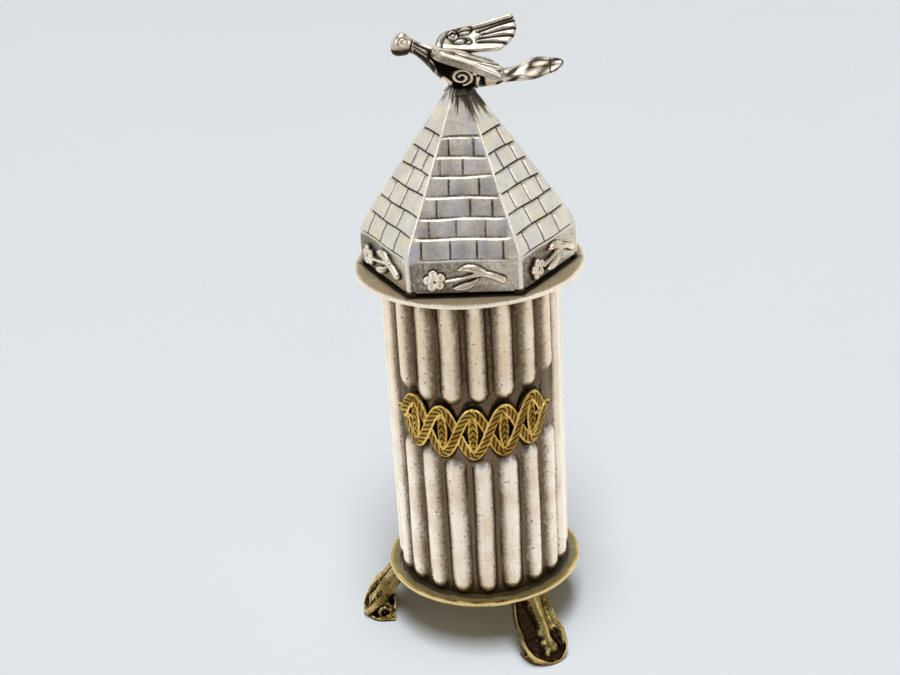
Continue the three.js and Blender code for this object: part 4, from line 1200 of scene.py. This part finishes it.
def spiral_distance(x, z):
    """Distance in the flank's plane from a spiral line."""
    dx, dz = (x - SPIRAL_CENTRE[0]) / SPIRAL_WIDE, z - SPIRAL_CENTRE[1]
    radius = np.hypot(dx, dz)
    angle = np.arctan2(dz, -dx) % TURN
    best = np.full_like(radius, 9.0)
    for k in range(3):
        turns = angle / TURN + k
        off = np.abs(radius - SPIRAL_START - SPIRAL_STEP * turns)
        best = np.where(turns <= SPIRAL_TURNS, np.minimum(best, off), best)
    return best


def stroke_mark(x, z, start, end, half):
    """One inside a straight stroke with round ends, falling to zero outside it."""
    step = np.array(end) - np.array(start)
    t = np.clip(((x - start[0]) * step[0] + (z - start[1]) * step[1]) / (step @ step), 0, 1)
    off = np.hypot(x - start[0] - t * step[0], z - start[1] - t * step[1])
    return smooth(half + 0.12, half - 0.12, off)


def flank(x, z, sides):
    """Relief and darkness of the raised spiral and strokes, on a ground below the wing that is dark patina
    deepened to a painted shadow of the wing.
    """
    ground = smooth(-5.9, -5.0, x) * smooth(4.9, 4.5, x) * sides
    ground = ground * smooth(0.8, 0.2, z - 105.6 + 0.42 * x)
    strokes = [stroke_mark(x, z, *stroke) for stroke in FLANK_STROKES]
    line = largest(hump(spiral_distance(x, z), 0.31), *strokes)
    dark = np.maximum(ground * (1.5 - 1.75 * line), 1.2 * stroke_mark(x, z, *VENT_MARK))
    return ground * (0.42 * line - 0.18), dark


def head(x, z, sides, normal_z):
    """Relief, darkness and shine of the head: a mouth line, eyes with an arc round each, a brow. The
    darkness holds painted shade on the head's underside, and the shine is a painted highlight over the head
    and round the eyes.
    """
    on_head = smooth(-7.9, -8.6, x)
    off_x, off_z = x - EYE_CENTRE[0], z - EYE_CENTRE[1]
    eye = np.hypot(off_x, off_z)
    mouth = hump(z - MOUTH_HEIGHT, 0.2) * smooth(-10.2, -10.9, x) * on_head
    ring = 0.45 * hump(eye - 0.85, 0.15) * sides * on_head * smooth(-0.95, -0.6, off_z - 0.4 * off_x)
    brow = hump(x + 8.6 - 0.25 * (z - 109), 0.16) * smooth(111.6, 110.2, z)
    push = -0.26 * mouth - 0.16 * ring + 0.14 * hump(eye, 0.45) * sides * on_head - 0.2 * brow
    # Painted shade on the head's underside, where it faces down
    under = 0.7 * on_head * smooth(0.3, -0.6, normal_z)
    shine = 0.08 * on_head + 0.9 * on_head * hump(eye, 0.4)
    return push, largest(mouth, 0.85 * ring, 0.95 * brow, under), shine


def neck(x, angle, normal_z):
    """Relief and darkness of the neck: dark and bright bands along it, and a dark throat, which is painted
    shade in wisps on its underside.
    """
    on_neck = smooth(-8.5, -7.9, x) * smooth(-3.6, -5.0, x)
    bands = largest(hump(normal_z - 0.72, 0.13), hump(normal_z - 0.28, 0.1))
    wisps = 0.75 + 0.25 * np.sin(9 * angle + 2.4 * x)
    throat = smooth(0.12, -0.15, normal_z) * wisps
    return -0.12 * on_neck * bands, on_neck * np.maximum(0.85 * bands, 1.1 * throat)


def tail_marks(share, across, angle, x, upper):
    """Darkness of the stem's wisps, the tail's grooves and the notch before its tip."""
    stem = hump(share - 0.705, 0.055) * (0.72 + 0.28 * np.sin(5 * angle + 3 * x))
    groove = upper * largest(0.5 * hump(across + 0.15, 0.2), 0.65 * hump(across - 0.5, 0.14))
    spot = upper * hump(share - 0.805, 0.02) * hump(across - 0.1, 0.35)
    notch = hump(share - 0.923, 0.008) * (np.sin(angle) > -0.2)
    return largest(0.95 * stem, groove, 0.45 * spot, 0.6 * notch)


def bird_body():
    """Head, body and tail in one casting, with the spigot that holds it."""
    rows = spread(BODY_ROWS, 10)
    columns = 150
    angle = around(columns)
    share, up, tall, wide = rows.T[:, :, None]
    x = BIRD_LENGTH * share - BIRD_HEAD_REACH + 0 * angle
    lean = BIRD_BANK * smooth(0.64, 0.74, share)
    side = wide * BIRD_WIDTH / 2 * np.cos(angle)
    across = side / np.maximum(wide * BIRD_WIDTH / 2, 0.1)
    # The tail's upper face is hollowed along its middle
    tail = smooth(0.74, 0.82, share)
    upper = (np.sin(angle) > 0) * tail
    rise = tall * BIRD_HEIGHT * np.sin(angle)
    rise = rise - 0.25 * upper * hump(across + 0.15, 0.3) - 0.2 * upper * hump(across - 0.5, 0.16)
    y, z = spun(side, rise, lean)
    z = z + BIRD_BASE + BIRD_HEIGHT * up
    normal_y, normal_z = spun(np.cos(angle), np.sin(angle), lean)
    sides = smooth(0.12, 0.35, np.abs(normal_y))
    flank_push, flank_dark = flank(x, z, sides)
    head_push, head_dark, shine = head(x, z, sides, normal_z)
    neck_push, neck_dark = neck(x, angle, normal_z)
    dark = largest(flank_dark, head_dark, neck_dark) + 0.24 - shine
    dark = np.maximum(dark, tail_marks(share, across, angle, x, upper))
    shaded = smooth(0.74, 0.8, share) * (0.5 + 0.5 * np.sin(1.7 * x + 3 * angle))
    dark = dark + 0.34 * shaded + 0.14 * tail
    scallop = smooth(0.93, 0.95, share) * upper * smooth(0.1, 0.6, across)
    dark = largest(dark, 0.95 * scallop, 0.8 * smooth(0.98, 0.995, share))
    push = flank_push + head_push + neck_push
    shape = np.stack([x, y + push * normal_y, z + push * normal_z], -1)
    parts = [(shape, capped(len(rows), columns), dark), (*lathe(SPIGOT, 20), 0.8)]
    piece("bird_cast", merged(parts), "lid", BIRD_SILVER, ["bird_body"], math.radians(70))


def finial_solder():
    """The uneven mound of solder that carries the roof's six sides on up to the bird."""
    phases = np.random.default_rng(SEED + 2).uniform(0, TURN, 4)
    # Radius, height over the roof's top, and darkness
    profile = np.array([(2.6, -0.2, 0.5), (2.78, -0.03, 0.1), (2.56, 0.3, 0.15), (2.3, 0.65, 0.3),
                        (1.9, 1, 0.8), (1.4, 1.3, 1.3)])
    segments = 96

    def wave(radius, z, angle):
        lumps = sum(0.018 * np.sin((k + 3) * angle + phase) for k, phase in enumerate(phases))
        out = radius * (1 + lumps) * (0.94 / np.cos(off_face(angle))) ** 0.7
        return out, ROOF_TOP + z + 2 * lumps

    shape = (*lathe(profile[:, :2], segments, wave), np.repeat(profile[:, 2], segments))
    piece("finial_seat", shape, "lid", ROOF_SILVER, ["finial_collar"])


# Wings, drawn flat: x runs back from the shoulder along the body, and y out from the root

WING_RISE = math.radians(13)
WING_SPAN = 9.9
WING_THICKNESS = 1.1
WING_ROOT_OFFSET = 0.4
WING_ROOT = (0.47, 0.02)
WING_FRONT = [(0, 0), (0.014, 0.24), (0.08, 0.42), (0.23, 0.54), (0.47, 0.68), (0.7, 0.85), (0.88, 0.98)]
WING_TIP = [(0.932, 1.0), (1.12, 0.55), (0.764, 0.098)]
WING_SPINE = [(0.06, 0.22), (0.3, 0.42), (0.6, 0.58), (0.88, 0.72)]
WING_SHOULDER = (0.16, 0.2)
WING_START = BIRD_LENGTH * 0.254 - BIRD_HEAD_REACH
WING_HEIGHT = BIRD_HEIGHT * 0.64
WING_PIVOT = BIRD_HEIGHT * 0.52
LOBE_PITCH = 2.2
FEATHERS = 5
FEATHER_BULGE = 0.28

# A wing's grooves end at some shares of its tip, and start at a share of the way there from the
# shoulder. The far wing has coverts, and the near one is crowned along its length instead.
Wing = collections.namedtuple("Wing", "side length forward lift slope groove_ends groove_start crown")
WINGS = {
    "bird_wing_left": Wing(side=-1, length=13.4, forward=0.7, lift=0.6, slope=math.radians(11),
                           groove_ends=(0.3, 0.66), groove_start=0.08, crown=0.9),
    "bird_wing_right": Wing(side=1, length=14.8, forward=0.0, lift=-0.15, slope=math.radians(7),
                            groove_ends=(0.17, 0.37, 0.58, 0.8), groove_start=0.4, crown=0.0),
}
# Coverts in the far wing's plane: place, half sizes and the angle of the long side
COVERTS = [((3.2, 3.55), (0.95, 0.95), 0), ((5.3, 4.8), (1.2, 0.72), 0.5),
           ((4.6, 2.35), (1.1, 0.5), 0.3), ((6.1, 2.35), (0.5, 0.45), 0)]


def wing_outline(size):
    """The closed outline of a wing, with the tips of its feathers bulging out."""
    ends = bezier(*WING_TIP, np.linspace(0, 1, FEATHERS + 1)) * size
    outline = [[WING_ROOT] * size, spread(WING_FRONT * size, 4)]
    for a, b in zip(ends[:-1], ends[1:]):
        across = b - a
        bulge = (a + b) / 2 + FEATHER_BULGE * np.array([-across[1], across[0]])
        outline.append(bezier(a, bulge, b, np.linspace(0, 1, 7)))
    return np.concatenate(outline + [outline[0]])


def inside_distance(points, closed):
    """Distance from a closed outline, below zero inside it."""
    best, _, _ = to_path(points, closed)
    inside = np.zeros(len(points), bool)
    for a, b in zip(closed[:-1], closed[1:]):
        crosses = (a[1] > points[:, 1]) != (b[1] > points[:, 1])
        rise = b[1] - a[1] if b[1] != a[1] else 1.0
        meet = a[0] + (points[:, 1] - a[1]) / rise * (b[0] - a[0])
        inside ^= crosses & (points[:, 0] < meet)
    return np.where(inside, -best, best)


def feather_relief(points, wing, size, top, dark):
    """Grooves between the feathers, out to the notches of the tip, and a hollow in each feather."""
    shoulder = WING_SHOULDER * size
    grooves = bezier(*WING_TIP, wing.groove_ends) * size
    wide = 0.17 if wing.crown else 0.28
    for index, end in enumerate(grooves):
        start = shoulder + (end - shoulder) * (wing.groove_start + 0.05 * (index % 2))
        bow = (start + end) / 2 + [0, 0.03 * wing.length]
        dist, along, _ = to_path(points, bezier(start, bow, end, np.linspace(0, 1, 9)))
        deep = smooth(0, 1.0, along)
        top = top - 0.42 * hump(dist, wide + 0.06) * deep
        dark = np.maximum(dark, 0.72 * hump(dist - 0.05, wide) * deep)
    for end in (grooves[:-1] + grooves[1:]) / 2:
        start = shoulder + (end - shoulder) * (wing.groove_start + 0.12)
        dist, along, _ = to_path(points, [start, end])
        top = top - 0.14 * hump(dist, 0.45) * smooth(0, 1.5, along)
    return top, dark


def covert_relief(points, wing, top, dark):
    """Coverts by the shoulder, each a boss in a dark ring, and a swirl on the first of them."""
    nearest = np.full(len(points), 9.0)
    for centre, (long, short), turn in COVERTS:
        u, w = spun(*(points - centre).T, -turn)
        away = (np.hypot(u / long, w / short) - 1) * short
        nearest = np.minimum(nearest, away)
        top = top - 0.26 * hump(away - 0.12, 0.17) + 0.12 * smooth(0.1, -0.4, away)
        dark = np.maximum(dark, 0.75 * hump(away - 0.12, 0.14))
    ground = smooth(0.62, 0.3, points[:, 0] / wing.length) * smooth(0.8, 1.6, points[:, 1])
    swirl = np.hypot(*(points - COVERTS[0][0]).T)
    top = top - 0.14 * hump(swirl - 0.5, 0.14)
    return top, largest(dark, 0.42 * ground * smooth(0.0, 0.3, nearest), 0.75 * hump(swirl - 0.5, 0.13))


def crown_relief(points, wing, size, signed, front, top, dark):
    """The near wing's crown along its length, in lobes that are dark between them and painted lighter on
    their crests as highlights, with darker flanks and a painted highlight along the crest.
    """
    spine, along, _ = to_path(points, WING_SPINE * size)
    top = top + wing.crown * smooth(0.0, 1.5, along) * hump(spine, 1.7)
    kept = smooth(1.0, 3.0, along) * smooth(0.2, 0.8, -signed)
    wave = 0.5 + 0.5 * np.cos(TURN * (front - 1.1) / LOBE_PITCH)
    top = top + 0.4 * (wave - 1) * kept
    dark = np.maximum(dark * (1 - 0.7 * wave), 0.85 * smooth(0.55, 0.0, wave) * kept)
    return top, np.maximum(dark, 0.34 * (1 - hump(spine, 0.9))) - 0.7 * hump(spine, 0.5) * kept


def in_place(points, height, wing):
    """Flat points of a wing, at a height over its underside, put where the wing sits."""
    x = points[:, 0]
    y, z = spun(wing.side * (WING_ROOT_OFFSET + points[:, 1]), height - 0.15, wing.side * WING_RISE)
    z, x = spun(z, x, wing.slope)
    y, z = spun(y, z + WING_HEIGHT + wing.lift - WING_PIVOT, BIRD_BANK)
    return np.stack([x + WING_START - wing.forward, y, z + BIRD_BASE + WING_PIVOT], 1)


def wing_piece(node, wing):
    """A wing with a cast upper face, soldered on beside the body."""
    size = np.array([wing.length, WING_SPAN])
    closed = wing_outline(size)
    band = 0.75 if wing.crown else 1.3

    def distance(points):
        return inside_distance(points, closed)

    def form(points):
        signed = distance(points)
        edge = np.clip(-signed / 0.5, 0, 1)
        top, dark = feather_relief(points, wing, size, 0.55 * dome(edge), 0.25 * (1 - edge))
        if not wing.crown:
            top, dark = covert_relief(points, wing, top, dark)
        # A broad smooth band along the leading edge, with a dark line inside it
        front, _, _ = to_path(points, spread(WING_FRONT * size, 4))
        top = top + 0.25 * hump(front - 0.5 * band, 0.5 * band) - 0.2 * hump(front - band, 0.2)
        dark = np.maximum(dark, 0.85 * hump(front - band, 0.18))
        if wing.crown:
            top, dark = crown_relief(points, wing, size, signed, front, top, dark)
        # The root lies in the body's shadow
        root = smooth(0.7, 0.0, points[:, 1]) * smooth(0.5, 2.5, points[:, 0])
        dark = largest(dark, 0.9 * root, 0.0 if wing.crown else 0.18) + 0.2
        face = in_place(points, WING_THICKNESS - 0.75 + top, wing)
        return face, in_place(points, 0.35 - 0.3 * edge, wing), dark

    shape = relief((-0.4, -0.4), size * [1.12, 1.08], 0.14, distance, form)
    piece(f"{node}_feathers", shape, "lid", BIRD_SILVER, [node], math.radians(60))


def wings():
    for node, wing in WINGS.items():
        wing_piece(node, wing)


def inner_pieces():
    """Carried nodes inside the lid, which keep their own meshes and take silver darkened as painted shade.
    """
    for node in ("roof_floor", "lid_collar"):
        obj = frame["nodes"][node]
        obj.data.materials.clear()
        obj.data.materials.append(SHADED_INNER_SILVER)


# Camera, floor and light

CAMERA_PLACE = (18.7198, -306.0666, 191.6488)
CAMERA_RIGHT = (0.997248, 0.051264, -0.053549)
CAMERA_UP = (0.027025, 0.421232, 0.906550)
CAMERA_BACK = (0.06903, -0.90550, 0.41869)
LENS = 68.607
FLOOR_REACH = 6.0
LAMP_PLACE = (0.08, -0.85, 2.85)
LAMP_SIZE = (0.8, 1.8)
LAMP_WATTS = 73.5
LAMP_COLOR = (0.92, 0.955, 1.0)
BELT_COLORS = [(0.8, 0.79, 0.77, 1.0), (0.4, 0.38, 0.35, 1.0)]
SURROUND_LIGHT = (0.275, 0.248, 0.19, 1.0)
# What metal mirrors besides: a direction, the cosines where its edge begins and ends, and a colour
MIRRORED = [
    ((-0.06, -0.86, 0.5), 0.74, 0.97, (0.44, 0.43, 0.475, 1.0)),
    ((-0.05, -0.55, 0.834), 0.968, 0.998, (0.78, 0.76, 0.74, 1.0)),
    ((-0.748, -0.354, 0.561), 0.94, 0.985, (1.7, 1.68, 1.62, 1.0)),
    ((0.748, -0.354, 0.561), 0.94, 0.985, (1.7, 1.68, 1.62, 1.0)),
    ((0, 0.72, 0.694), 0.93, 0.985, (1.25, 1.23, 1.19, 1.0)),
    ((-0.05, 0.1, 0.994), 0.84, 0.95, (2.3, 2.27, 2.2, 1.0)),
]


def camera():
    data = bpy.data.cameras.new("camera")
    data.lens = LENS
    data.sensor_width = 36
    data.clip_start = 0.01
    data.clip_end = 20
    obj = in_scene("camera", data)
    turn = Matrix((CAMERA_RIGHT, CAMERA_UP, CAMERA_BACK)).transposed().to_4x4()
    obj.matrix_world = Matrix.Translation(Vector(CAMERA_PLACE) * MM) @ turn
    bpy.context.scene.camera = obj


def floor():
    """A pale floor that catches the shadow near the box and is of one even colour far from it. In
    metal it shows a little warmer."""
    mesh = bpy.data.meshes.new("floor")
    corners = [(-1, -1), (1, -1), (1, 1), (-1, 1)]
    points = [(x * FLOOR_REACH, y * FLOOR_REACH, FLOOR * MM) for x, y in corners]
    mesh.from_pydata(points, [], [(0, 1, 2, 3)])
    material = bpy.data.materials.new("pale_floor")
    tree = Tree(material)
    place = tree.add("ShaderNodeTexCoord").outputs["Object"]
    color = tree.mix(tree.noise(place, 6.0, 2.0), rgb(224, 228, 233), rgb(227, 231, 236))
    mirrored = tree.add("ShaderNodeLightPath").outputs["Is Glossy Ray"]
    color = tree.mix(mirrored, color, rgb(252, 248, 242))
    near = tree.add("ShaderNodeBsdfDiffuse", {"Color": color, "Roughness": 1.0})
    far = tree.add("ShaderNodeEmission", {"Color": rgb(224, 228, 231), "Strength": 1.0})
    away = tree.vector("LENGTH", place).outputs["Value"]
    inputs = {0: tree.ramp(away, 0.35, 1.1), 1: near.outputs[0], 2: far.outputs[0]}
    shader = tree.add("ShaderNodeMixShader", inputs)
    tree.add("ShaderNodeOutputMaterial", {"Surface": shader.outputs[0]})
    mesh.materials.append(material)
    in_scene("floor", mesh)


def world():
    """A pale surround that lights softly. Metal mirrors a belt that darkens upwards, a dim patch
    high in front with a window above it, soft boxes at both sides and behind, and a ceiling."""
    surround = bpy.data.worlds.new("surround")
    bpy.context.scene.world = surround
    tree = Tree(surround)
    place = tree.add("ShaderNodeTexCoord").outputs["Generated"]

    def towards(direction):
        return tree.vector("DOT_PRODUCT", place, direction).outputs["Value"]

    shown = tree.mix(tree.ramp(towards((0, 0, 1)), 0.42, 0.72), *BELT_COLORS)
    for direction, begins, ends, color in MIRRORED:
        shown = tree.mix(tree.ramp(towards(direction), begins, ends), shown, color)
    path = tree.add("ShaderNodeLightPath")
    lit = tree.mix(path.outputs["Is Glossy Ray"], SURROUND_LIGHT, shown)
    color = tree.mix(path.outputs["Is Camera Ray"], lit, rgb(226, 230, 232))
    shader = tree.add("ShaderNodeBackground", {"Color": color, "Strength": 1.0})
    tree.add("ShaderNodeOutputWorld", {"Surface": shader.outputs[0]})


def lamp():
    """A large soft lamp overhead, which metal doesn't mirror."""
    data = bpy.data.lights.new("overhead", "AREA")
    data.shape = "RECTANGLE"
    data.size, data.size_y = LAMP_SIZE
    data.energy = LAMP_WATTS
    data.color = LAMP_COLOR
    obj = in_scene("overhead", data)
    aim = (-Vector(LAMP_PLACE)).to_track_quat("-Z", "Y").to_matrix().to_4x4()
    obj.matrix_world = Matrix.Translation(LAMP_PLACE) @ aim
    obj.visible_glossy = False


base_plate()
foot_solder()
fluted_tube()
ornament()
top_flange()
feet()
roof_shell()
flower_sprigs()
finial_solder()
bird_body()
wings()
inner_pieces()
camera()
floor()
world()
lamp()
bpy.context.scene.view_settings.view_transform = "Standard"
